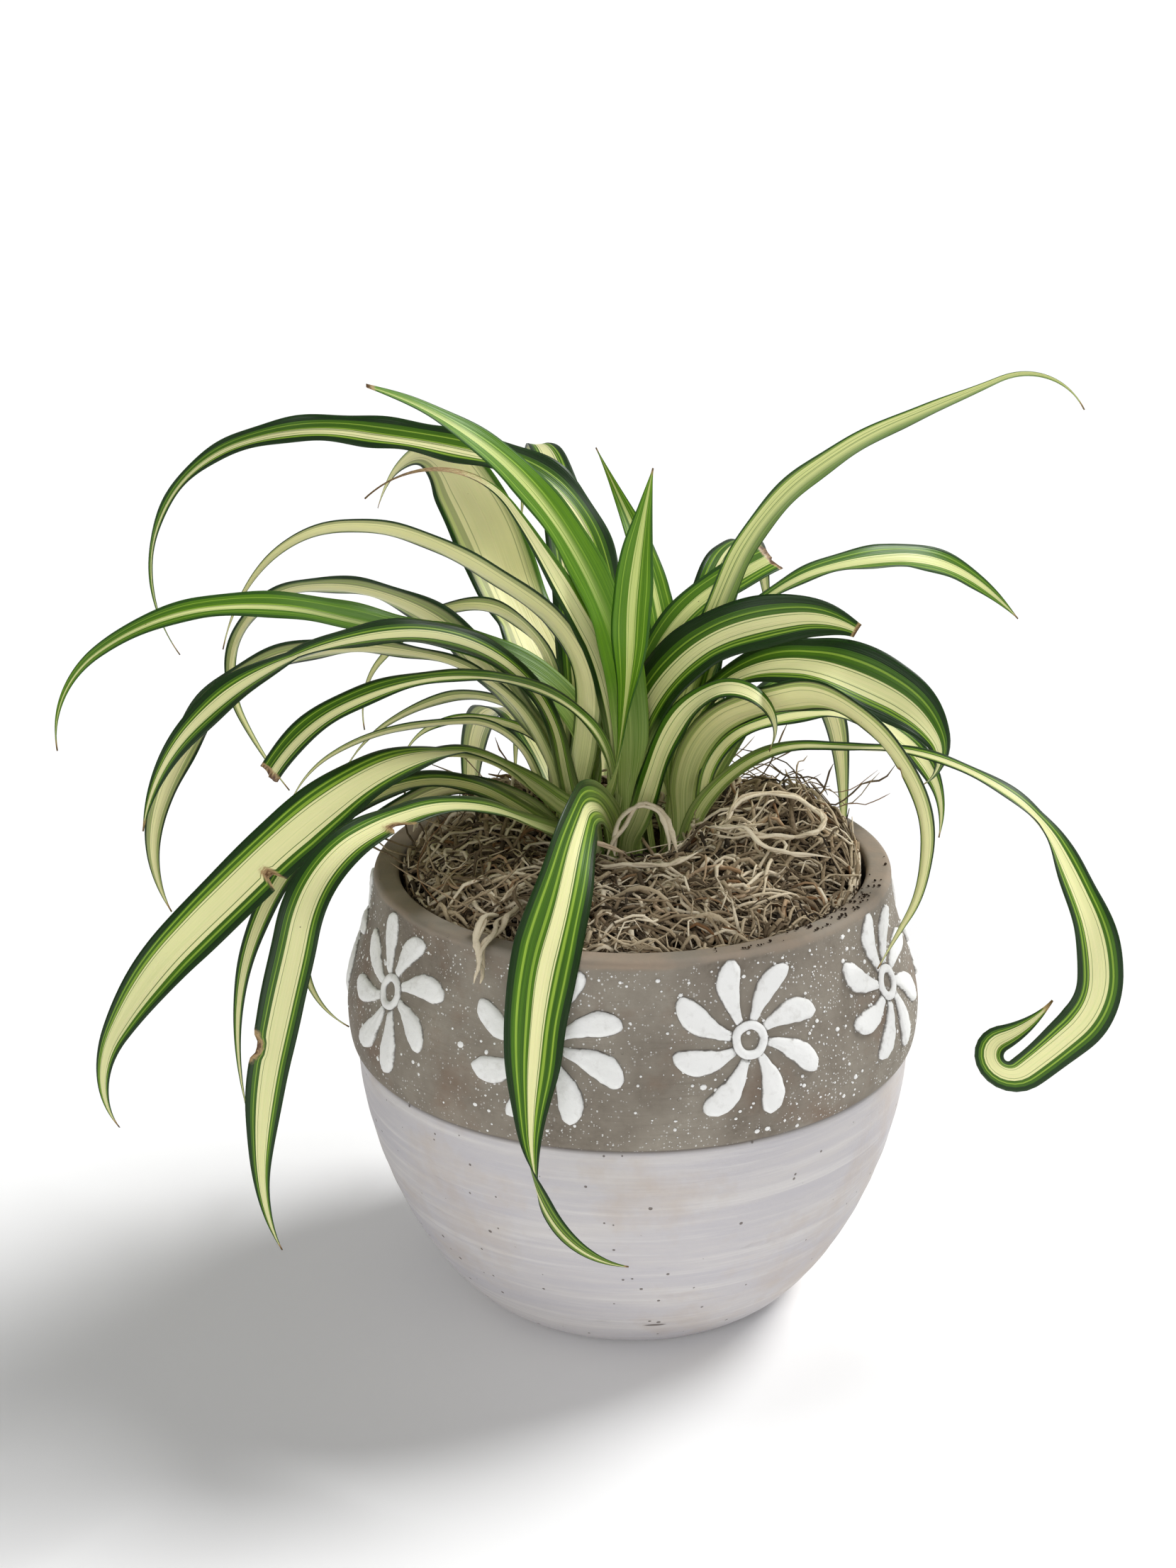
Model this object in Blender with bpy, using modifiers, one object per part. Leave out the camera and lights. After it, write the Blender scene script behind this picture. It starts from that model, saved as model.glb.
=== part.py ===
"""A potted spider plant: ceramic pot, soil, moss mulch, four shoots and their leaves.

Metres, +Z up. The origin is the centre of the pot's flat foot, +X is the plant's right
and -Y its front. Run with: blender --background --python part.py
"""
import math
from typing import NamedTuple

import bpy
import numpy as np

# Pot: a rounded bowl, a slightly proud band above it, and a plain lip.
FOOT_RADIUS = 0.043
JOINT_HEIGHT = 0.0756
BOWL_RADIUS = 0.0768
BAND_STEP = 0.0010
WIDEST_RADIUS = 0.0791
WIDEST_HEIGHT = 0.0860
RIM_RADIUS = 0.0705
RIM_INNER_RADIUS = 0.0637
POT_HEIGHT = 0.1248
LIP_ROUND = 0.0016
WALL = 0.0070
FLOOR = 0.0090
TURN_SEGMENTS = 40

# Growing medium and mulch.
GAP = 0.0003
SOIL_TOP = 0.1140
SOIL_TOP_RADIUS = RIM_INNER_RADIUS + 0.0008
SOCKET_DEPTH = 0.0050
MOSS_RADIUS = 0.0631
MOSS_HOLE_RADIUS = 0.0275
MOSS_HOLE_CENTRE = (0.0, 0.012)
MOSS_PROFILE = (
    (0.0, 0.0150),
    (0.030, 0.0160),
    (0.045, 0.0150),
    (0.056, 0.0120),
    (MOSS_RADIUS, 0.0070),
)
MOSS_MOUND_HEIGHT = 0.0080
MOSS_MOUND_CENTRE = (0.042, 0.018)
MOSS_MOUND_SPREAD = 0.016
MOSS_HOLE_DEPTH = 0.010
MOSS_HOLE_TOP = 0.040

# Shoots: the short white stubs that the leaves grow from.
SHOOT_FOOT_RADIUS = 0.0070
SHOOT_TIP_RADIUS = 0.0022
SHOOT_HEIGHT = 0.0360
SHOOT_TIP_ROUND = 0.0010
SHOOT_SEGMENTS = 20
SHOOT_CENTRES = {
    "left": (-0.0155, 0.018),
    "middle": (0.0, 0.014),
    "right": (0.015, 0.022),
    "front": (-0.011, 0.002),
}

# Leaves.
LEAF_THICKNESS = 0.0008
MARGIN_THICKNESS = 0.0002
LEAF_FOLD = 0.25
SEAT_CLEARANCE = 0.0010
NARROWEST_HALF_WIDTH = 0.0006
SECTION_SPACING = 0.011
PATH_STEPS = 80
FEWEST_SECTIONS = 8

# Relative width of a leaf at even steps from its base to its tip.
OUTLINES = {
    "fine": (0.38, 0.80, 0.96, 1.0, 0.95, 0.80, 0.58, 0.34, 0.15, 0.02),
    "blunt": (0.38, 0.80, 0.96, 1.0, 0.97, 0.92, 0.85, 0.72, 0.52, 0.20),
    "cut": (0.38, 0.62, 0.74, 0.84, 0.90, 0.95, 0.98, 1.0, 0.98, 0.88),
    "late": (0.30, 0.42, 0.46, 0.60, 0.85, 1.0, 0.98, 0.75, 0.35, 0.02),
    "tail": (0.38, 0.85, 1.0, 0.98, 0.80, 0.45, 0.25, 0.15, 0.08, 0.02),
    "broad": (0.38, 0.80, 0.95, 1.0, 1.0, 1.0, 0.90, 0.42, 0.20, 0.02),
    "band": (0.40, 0.72, 0.92, 1.0, 1.0, 0.96, 0.92, 0.78, 0.32, 0.02),
    "paddle": (0.30, 0.42, 0.46, 0.50, 0.72, 0.95, 1.0, 1.0, 0.80, 0.05),
    "strap": (0.40, 0.50, 0.72, 0.88, 0.96, 1.0, 0.90, 0.32, 0.26, 0.02),
}


class Leaf(NamedTuple):
    """One leaf, described the way it grows.

    turn and rise place its base on the shoot: degrees round it and millimetres above the
    soil. length and width are in millimetres. pitch is how steeply the leaf climbs, heading
    the compass direction it runs in (0 right, 90 back, 180 left) and roll how far its upper
    face turns to its right, all in degrees at even steps from base to tip.
    """
    name: str
    shoot: str
    turn: float
    rise: float
    length: float
    width: float
    outline: str
    pitch: tuple
    heading: tuple
    roll: tuple


LEAVES = (
    Leaf("left_01", "middle", 165, 19, 265, 13, "fine",
         (85, 95, 70, 10, 5, -20, -70, -125),
         (165, 165, 170), (-20, -20, -50, -70)),
    Leaf("left_02", "left", 0, 32, 185, 14, "fine",
         (85, 35, 15, 15, -5, -35, -95),
         (190, 190), (-60, -10, -30, -80)),
    Leaf("left_03", "middle", 258, 31, 140, 13, "blunt",
         (95, 75, 60, 40, 20),
         (200, 195), (-110, -60, -50, -10)),
    Leaf("left_04", "left", 73, 20, 165, 21, "broad",
         (65, 45, 35, 50, 35, -25, -65),
         (115, 120, 135), (-30, 10, -50, -70)),
    Leaf("left_05", "middle", 213, 29, 135, 10, "tail",
         (95, 75, 60, 60, 55, 10, -40),
         (225, 215, 200), (-140, -70, -90, -50)),
    Leaf("left_06", "left", 240, 19, 190, 10, "fine",
         (110, 95, 30, 20, -5, -45, -75),
         (150, 160), (110, 60, 50, 40)),
    Leaf("left_07", "left", 185, 21, 180, 12, "fine",
         (90, 50, 45, 15, -10, -60, -115, -130),
         (165, 165), (40, 80, 40, 20, 40)),
    Leaf("left_08", "left", 285, 9, 185, 14, "late",
         (75, 80, 40, 5, -15, -40, -80),
         (205, 205), (-90, -40, 10, -90)),
    Leaf("left_09", "front", 25, 25, 125, 10, "cut",
         (105, 50, 20, 0, -20, -55),
         (205, 205), (-50, 0, -20)),
    Leaf("left_10", "left", 199, 18, 190, 12, "late",
         (90, 55, 15, -5, -50, -70, -115),
         (190, 190), (30, 40, 50, 90)),
    Leaf("left_11", "front", 165, 20, 190, 16, "band",
         (45, 40, 0, -25, -35, -35, -55, -120),
         (215, 215), (-50, 10, -40, -40, -30)),
    Leaf("left_12", "front", 175, 13, 165, 11, "fine",
         (45, 35, -5, -40, -65, -85, -100),
         (205, 205), (-40, 0, -30, -50)),
    Leaf("left_13", "front", 220, 16, 200, 13, "band",
         (30, 30, 10, -10, -70, -70, -85, -115),
         (230, 230), (-30, 0, -20, -30)),
    Leaf("left_14", "left", 205, 11, 130, 10, "fine",
         (65, 20, -25, -45, -60, -100, -145),
         (185, 195), (40, 60, 90)),
    Leaf("left_15", "left", 180, 11, 110, 5, "fine",
         (80, 65, -5, -15, -35, -70),
         (165, 170), (60, 40, 70)),
    Leaf("left_16", "left", 148, 9, 105, 6, "fine",
         (85, 85, 20, -20, -35, -60),
         (155, 160), (50, 50, 70)),
    Leaf("left_17", "left", 62, 7, 90, 7, "fine",
         (65, 65, 15, -5, -30, -70),
         (145, 150), (30, 0, -90)),
    Leaf("left_18", "left", 134, 16, 135, 8, "fine",
         (80, 95, 65, 5, -35, -50, -100),
         (150, 155), (100, 60, 40, 50)),
    Leaf("centre_01", "right", 135, 31, 95, 12, "fine",
         (65, 80, 60, 45, 45),
         (110, 125), (30, 20, -70)),
    Leaf("centre_02", "front", 355, 26, 94, 12, "late",
         (75, 83, 87, 83, 79),
         (350, 350), (-10, 70, 70)),
    Leaf("right_01", "right", 183, 30, 180, 11, "fine",
         (80, 70, 65, 35, 20, 20, -60),
         (15, 15), (-60, -60, -60, -50)),
    Leaf("right_02", "middle", 69, 29, 80, 12, "cut",
         (80, 85, 45, 20, 15),
         (40, 35), (20, 10, 30)),
    Leaf("right_03", "middle", 18, 32, 85, 18, "blunt",
         (110, 65, 45, 20, 5, -30),
         (-5, 0), (40, 40, 90)),
    Leaf("right_04", "right", 220, 27, 115, 19, "late",
         (85, 65, 40, 10, -15, -25, -60, -150),
         (-15, -15), (90, 30, 30, 60, 20)),
    Leaf("right_05", "right", 267, 19, 170, 12, "fine",
         (95, 55, 25, 20, -15, -40, -90, -120, -120),
         (-45, -55), (-30, -40, -60, -90, -90)),
    Leaf("right_06", "middle", 265, 12, 85, 10, "blunt",
         (65, 70, 70, 55, 30, -35, -120),
         (-40, -25), (90, 60, -20)),
    Leaf("right_07", "right", 281, 6, 240, 13, "paddle",
         (90, 55, 35, 5, 5, -15, -30, -60, -65, -85, -130, -135, -330, -300),
         (-25, -15), (80, 0, -5, 80, 60)),
    Leaf("right_08", "right", 27, 21, 165, 13, "late",
         (95, 80, 30, 5, -5, -30, -45),
         (40, 30), (10, -20, 20, 100)),
    Leaf("right_09", "right", 310, 6, 125, 10, "late",
         (95, 80, 15, -5, -30, -60, -100),
         (20, 15), (60, 0, 100)),
    Leaf("front_01", "front", 350, 16, 180, 19, "strap",
         (65, 25, 5, -40, -55, -65, -65, -35, 0),
         (250, 265, 245, 275, 350), (-90, -70, -50, -40, -30)),
    Leaf("back_01", "left", 60, 22, 175, 14, "fine",
         (85, 75, 60, 35, 0, -40, -75),
         (102, 102), (-30, 10, 0, -10)),
    Leaf("back_02", "right", 85, 21, 150, 15, "fine",
         (80, 65, 45, 15, -20, -55, -80),
         (72, 74), (0, -10, 0, 10)),
    Leaf("back_03", "right", 125, 8, 150, 13, "fine",
         (50, 30, 10, -30, -65, -80, -85),
         (105, 101), (0, 10, 10, 20)),
    Leaf("back_04", "right", 30, 18, 145, 12, "fine",
         (55, 30, 5, -35, -70, -85, -90),
         (55, 58), (0, -10, -10, 0)),
    Leaf("back_05", "left", 105, 10, 140, 14, "fine",
         (50, 30, 5, -30, -70, -85, -95),
         (116, 112), (0, 10, 0, 0)),
    Leaf("back_06", "right", 90, 14, 130, 11, "fine",
         (60, 40, 15, -20, -55, -80, -90),
         (82, 80), (0, 0, 10, 10)),
    Leaf("back_07", "left", 60, 15, 120, 10, "fine",
         (65, 50, 25, -15, -50, -75, -90),
         (108, 110), (-30, -10, 0, 0)),
)


def clear_scene():
    for thing in list(bpy.data.objects):
        bpy.data.objects.remove(thing, do_unlink=True)


def new_collection(name):
    collection = bpy.data.collections.new(name)
    bpy.context.scene.collection.children.link(collection)
    return collection


def plain_material(name, colour, roughness):
    material = bpy.data.materials.new(name)
    material.use_nodes = True
    shader = material.node_tree.nodes["Principled BSDF"]
    shader.inputs["Base Color"].default_value = (*colour, 1.0)
    shader.inputs["Roughness"].default_value = roughness
    shader.inputs["Metallic"].default_value = 0.0
    return material


def add_object(name, vertices, edges, faces, collection, material):
    mesh = bpy.data.meshes.new(name)
    mesh.from_pydata([tuple(v) for v in vertices], edges, faces)
    mesh.update()
    mesh.materials.append(material)
    thing = bpy.data.objects.new(name, mesh)
    collection.objects.link(thing)
    return thing


def add_turned(name, profile, collection, material, segments=TURN_SEGMENTS):
    """A solid of revolution; the profile of (radius, height) runs down the outer side."""
    vertices = [(radius, 0.0, height) for radius, height in profile]
    edges = [(i, i + 1) for i in range(len(profile) - 1)]
    thing = add_object(name, vertices, edges, [], collection, material)
    screw = thing.modifiers.new("turn", "SCREW")
    screw.steps = segments
    screw.render_steps = segments
    screw.use_merge_vertices = True
    screw.merge_threshold = 0.00001
    screw.use_smooth_shade = True
    return thing


def cut_away(thing, cutter, name):
    cut = thing.modifiers.new(name, "BOOLEAN")
    cut.operation = "DIFFERENCE"
    cut.object = cutter
    cutter.hide_render = True
    cutter.display_type = "WIRE"


def add_cylinder_cutter(name, centre, radius, low, high, cutters):
    bpy.ops.mesh.primitive_cylinder_add(
        vertices=TURN_SEGMENTS, radius=radius, depth=high - low,
        location=(centre[0], centre[1], (low + high) / 2))
    cutter = bpy.context.object
    cutter.name = name
    for collection in list(cutter.users_collection):
        collection.objects.unlink(cutter)
    cutters.objects.link(cutter)
    return cutter


def bowl_point(share):
    """Point on the bowl's outside: share 0 is the foot's edge, 1 the joint with the band."""
    angle = share * math.pi / 2
    radius = FOOT_RADIUS + (BOWL_RADIUS - FOOT_RADIUS) * math.sin(angle) ** 1.41
    height = JOINT_HEIGHT * (1 - math.cos(angle) ** 1.13)
    return radius, height


def band_point(share):
    """Point on the band's outside: share 0 is its widest ring, 1 the rim."""
    reach = math.sin(share * math.pi / 2) ** 1.6
    radius = WIDEST_RADIUS + (RIM_RADIUS - WIDEST_RADIUS) * reach
    height = WIDEST_HEIGHT + (POT_HEIGHT - WIDEST_HEIGHT) * share
    return radius, height


def cavity_profile(inset):
    """The pot's inner wall from the floor's centre up to the lip, moved inward by inset."""
    points = [(0.0, FLOOR + inset)]
    for share in (0.30, 0.45, 0.60, 0.75, 0.90):
        radius, height = bowl_point(share)
        points.append((radius - WALL - inset, max(height, FLOOR + inset)))
    points.append((BOWL_RADIUS - WALL - inset, JOINT_HEIGHT))
    points.append((WIDEST_RADIUS - WALL - inset, WIDEST_HEIGHT))
    for share in (0.35, 0.70):
        radius, height = band_point(share)
        points.append((radius - WALL - inset, height))
    return points


def make_pot(parts):
    material = plain_material("pot_ceramic", (0.42, 0.38, 0.34), 0.75)
    profile = cavity_profile(0.0)
    profile.append((RIM_INNER_RADIUS, POT_HEIGHT - LIP_ROUND))
    profile.append((RIM_INNER_RADIUS + LIP_ROUND, POT_HEIGHT))
    profile.append((RIM_RADIUS - LIP_ROUND, POT_HEIGHT))
    profile.append((RIM_RADIUS, POT_HEIGHT - LIP_ROUND))
    for share in (0.80, 0.60, 0.40, 0.20, 0.0):
        profile.append(band_point(share))
    profile.append((BOWL_RADIUS + BAND_STEP, JOINT_HEIGHT + BAND_STEP))
    profile.append((BOWL_RADIUS, JOINT_HEIGHT))
    for share in (0.88, 0.76, 0.64, 0.52, 0.40, 0.28, 0.16):
        profile.append(bowl_point(share))
    profile.append((FOOT_RADIUS, 0.0))
    profile.append((0.0, 0.0))
    return add_turned("pot", profile, parts, material)


def make_soil(parts, cutters):
    material = plain_material("soil", (0.045, 0.030, 0.020), 0.95)
    wall = [point for point in cavity_profile(GAP) if point[1] < SOIL_TOP]
    profile = [(0.0, SOIL_TOP), (SOIL_TOP_RADIUS, SOIL_TOP)] + wall[::-1]
    soil = add_turned("soil", profile, parts, material)
    for shoot, centre in SHOOT_CENTRES.items():
        cutter = add_cylinder_cutter(
            "socket_" + shoot, centre, SHOOT_FOOT_RADIUS + 2 * GAP,
            SOIL_TOP - SOCKET_DEPTH - GAP, SOIL_TOP + SOCKET_DEPTH, cutters)
        cut_away(soil, cutter, "socket_" + shoot)
    return soil


def make_moss(parts, cutters):
    """The mulch of dry moss: a low ring mound, higher at the right."""
    material = plain_material("moss", (0.25, 0.20, 0.14), 0.95)
    floor = SOIL_TOP + GAP
    profile = [(radius, SOIL_TOP + height) for radius, height in MOSS_PROFILE]
    profile += [(MOSS_RADIUS, floor), (0.0, floor)]
    moss = add_turned("moss", profile, parts, material)
    graph = bpy.context.evaluated_depsgraph_get()
    turned = bpy.data.meshes.new_from_object(moss.evaluated_get(graph))
    moss.modifiers.clear()
    moss.data = turned
    for vertex in turned.vertices:
        if vertex.co.z < floor + GAP:
            continue
        away = math.dist(vertex.co[:2], MOSS_MOUND_CENTRE)
        vertex.co.z += MOSS_MOUND_HEIGHT * math.exp(-0.5 * (away / MOSS_MOUND_SPREAD) ** 2)
    cutter = add_cylinder_cutter(
        "moss_hole", MOSS_HOLE_CENTRE, MOSS_HOLE_RADIUS,
        SOIL_TOP - MOSS_HOLE_DEPTH, SOIL_TOP + MOSS_HOLE_TOP, cutters)
    cut_away(moss, cutter, "hole")
    return moss


def shoot_radius(rise):
    """Radius of a shoot at a height above the soil."""
    taper = (SHOOT_TIP_RADIUS - SHOOT_FOOT_RADIUS) / SHOOT_HEIGHT
    return SHOOT_FOOT_RADIUS + taper * rise


def make_shoots(parts):
    for shoot, centre in SHOOT_CENTRES.items():
        material = plain_material("shoot_" + shoot, (0.62, 0.68, 0.45), 0.5)
        tip = SOIL_TOP + SHOOT_HEIGHT
        profile = (
            (0.0, tip + SHOOT_TIP_ROUND),
            (SHOOT_TIP_RADIUS * 0.6, tip + SHOOT_TIP_ROUND * 0.7),
            (SHOOT_TIP_RADIUS, tip),
            (shoot_radius(SHOOT_HEIGHT / 2), SOIL_TOP + SHOOT_HEIGHT / 2),
            (SHOOT_FOOT_RADIUS, SOIL_TOP),
            (SHOOT_FOOT_RADIUS, SOIL_TOP - SOCKET_DEPTH),
            (0.0, SOIL_TOP - SOCKET_DEPTH),
        )
        thing = add_turned("shoot_" + shoot, profile, parts, material, SHOOT_SEGMENTS)
        thing.location = (centre[0], centre[1], 0.0)


def spread(values, share):
    """Value at a share of the leaf's length, from values at even steps along it."""
    return np.interp(share, np.linspace(0.0, 1.0, len(values)), values)


def seat_point(leaf):
    """Where the leaf's base sits, just off the side of its shoot."""
    centre = SHOOT_CENTRES[leaf.shoot]
    turn = math.radians(leaf.turn)
    rise = leaf.rise / 1000
    radius = shoot_radius(rise) + SEAT_CLEARANCE
    return np.array((
        centre[0] + radius * math.cos(turn), centre[1] + radius * math.sin(turn), SOIL_TOP + rise))


def leaf_frame(leaf):
    """Midrib points and, at each, the directions across the blade and out of its upper face."""
    share = np.linspace(0.0, 1.0, PATH_STEPS + 1)
    pitch = np.radians(spread(leaf.pitch, share))
    heading = np.radians(spread(leaf.heading, share))
    roll = np.radians(spread(leaf.roll, share))[:, None]
    flat = np.zeros_like(share)
    level = np.cos(pitch)
    along = np.stack((level * np.cos(heading), level * np.sin(heading), np.sin(pitch)), -1)
    side = np.stack((np.sin(heading), -np.cos(heading), flat), -1)
    upper = np.cross(side, along)
    steps = (along[1:] + along[:-1]) / 2 * leaf.length / 1000 / PATH_STEPS
    points = seat_point(leaf) + np.vstack((np.zeros(3), np.cumsum(steps, axis=0)))
    across = side * np.cos(roll) - upper * np.sin(roll)
    normal = upper * np.cos(roll) + side * np.sin(roll)
    return share, points, across, normal


def make_leaf(leaf, parts):
    """A thin channelled blade, lofted through sections along its midrib, thickest in the middle.

    Its upper and lower skins are split along the same diagonals, so they never cross.
    """
    material = plain_material("leaf_" + leaf.name, (0.16, 0.32, 0.08), 0.45)
    share, points, across, normal = leaf_frame(leaf)
    half_width = spread(OUTLINES[leaf.outline], share) * leaf.width / 1000 / 2
    half_width = np.maximum(half_width, NARROWEST_HALF_WIDTH)
    sections = FEWEST_SECTIONS + round(leaf.length / 1000 / SECTION_SPACING)
    around = (
        (1, MARGIN_THICKNESS), (0, LEAF_THICKNESS), (-1, MARGIN_THICKNESS),
        (-1, -MARGIN_THICKNESS), (0, -LEAF_THICKNESS), (1, -MARGIN_THICKNESS))
    vertices = []
    for i in np.linspace(0, PATH_STEPS, sections).round().astype(int):
        for side, thickness in around:
            lift = abs(side) * half_width[i] * LEAF_FOLD + thickness / 2
            vertices.append(points[i] + across[i] * side * half_width[i] + normal[i] * lift)
    count = len(around)
    faces = [tuple(range(count))]
    for near in range(0, count * (sections - 1), count):
        far = near + count
        for j in range(count):
            k = (j + 1) % count
            if j < count // 2:
                faces += [(near + j, far + j, far + k), (near + j, far + k, near + k)]
            else:
                faces += [(near + j, far + j, near + k), (far + j, far + k, near + k)]
    last = count * sections - 1
    faces.append(tuple(range(last, last - count, -1)))
    add_object("leaf_" + leaf.name, vertices, [], faces, parts, material)


def main():
    clear_scene()
    parts = new_collection("potted_spider_plant")
    cutters = new_collection("cutters")
    make_pot(parts)
    make_soil(parts, cutters)
    make_moss(parts, cutters)
    make_shoots(parts)
    for leaf in LEAVES:
        make_leaf(leaf, parts)


main()
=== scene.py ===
"""Looks of the potted spider plant: fine leaves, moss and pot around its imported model.

Metres, +Z up, in the model's own frame: the origin is the centre of the pot's foot, +X is
the plant's right and -Y its front.
"""
import math
from typing import NamedTuple

import bmesh
import bpy
import numpy as np
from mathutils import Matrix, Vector


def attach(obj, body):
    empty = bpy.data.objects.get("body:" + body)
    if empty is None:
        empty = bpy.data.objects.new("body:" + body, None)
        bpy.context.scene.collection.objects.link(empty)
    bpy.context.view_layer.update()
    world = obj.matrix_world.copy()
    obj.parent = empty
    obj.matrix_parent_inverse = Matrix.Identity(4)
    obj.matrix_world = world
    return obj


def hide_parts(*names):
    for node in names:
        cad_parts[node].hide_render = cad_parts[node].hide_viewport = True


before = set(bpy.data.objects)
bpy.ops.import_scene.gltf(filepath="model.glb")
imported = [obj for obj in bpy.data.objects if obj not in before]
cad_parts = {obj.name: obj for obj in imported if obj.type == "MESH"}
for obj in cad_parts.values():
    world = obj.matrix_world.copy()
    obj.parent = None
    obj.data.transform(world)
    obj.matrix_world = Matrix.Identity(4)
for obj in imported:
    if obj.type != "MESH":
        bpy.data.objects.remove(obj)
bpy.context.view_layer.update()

# Pot: the same bowl, band and lip as the model's.
FOOT_RADIUS = 0.043
JOINT_HEIGHT = 0.0756
BOWL_RADIUS = 0.0768
BAND_STEP = 0.0010
WIDEST_RADIUS = 0.0791
WIDEST_HEIGHT = 0.0860
RIM_RADIUS = 0.0705
RIM_INNER_RADIUS = 0.0637
POT_HEIGHT = 0.1248
LIP_ROUND = 0.0016
SOIL_TOP = 0.1140

# Shoots and leaves: the same places and sizes as the model's.
SHOOT_FOOT_RADIUS = 0.0070
SHOOT_TIP_RADIUS = 0.0022
SHOOT_HEIGHT = 0.0360
SHOOT_CENTRES = {
    "left": (-0.0155, 0.018),
    "middle": (0.0, 0.014),
    "right": (0.015, 0.022),
    "front": (-0.011, 0.002),
}
SEAT_CLEARANCE = 0.0010

# Relative width of a leaf at even steps from its base to its tip.
OUTLINES = {
    "fine": (0.62, 0.80, 0.96, 1.0, 0.95, 0.80, 0.58, 0.34, 0.15, 0.0),
    "blunt": (0.62, 0.80, 0.96, 1.0, 0.97, 0.92, 0.85, 0.72, 0.52, 0.20),
    "cut": (0.62, 0.66, 0.74, 0.84, 0.90, 0.95, 0.98, 1.0, 0.98, 0.88),
    "late": (0.52, 0.46, 0.48, 0.60, 0.85, 1.0, 0.98, 0.75, 0.35, 0.0),
    "tail": (0.62, 0.85, 1.0, 0.98, 0.80, 0.45, 0.25, 0.15, 0.08, 0.0),
    "broad": (0.62, 0.80, 0.95, 1.0, 1.0, 1.0, 0.90, 0.42, 0.20, 0.0),
    "band": (0.56, 0.76, 0.92, 1.0, 1.0, 0.96, 0.92, 0.78, 0.32, 0.0),
    "paddle": (0.52, 0.46, 0.48, 0.50, 0.72, 0.95, 1.0, 1.0, 0.80, 0.0),
    "strap": (0.52, 0.56, 0.72, 0.88, 0.96, 1.0, 0.88, 0.30, 0.28, 0.0),
}


class Leaf(NamedTuple):
    """One leaf, described the way it grows.

    turn and rise place its base on the shoot: degrees round it and millimetres above the
    soil. length and width are in millimetres. pitch is how steeply the leaf climbs, heading
    the compass direction it runs in (0 right, 90 back, 180 left) and roll how far its upper
    face turns to its right, all in degrees at even steps from base to tip.
    """
    name: str
    shoot: str
    turn: float
    rise: float
    length: float
    width: float
    outline: str
    pitch: tuple
    heading: tuple
    roll: tuple


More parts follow.
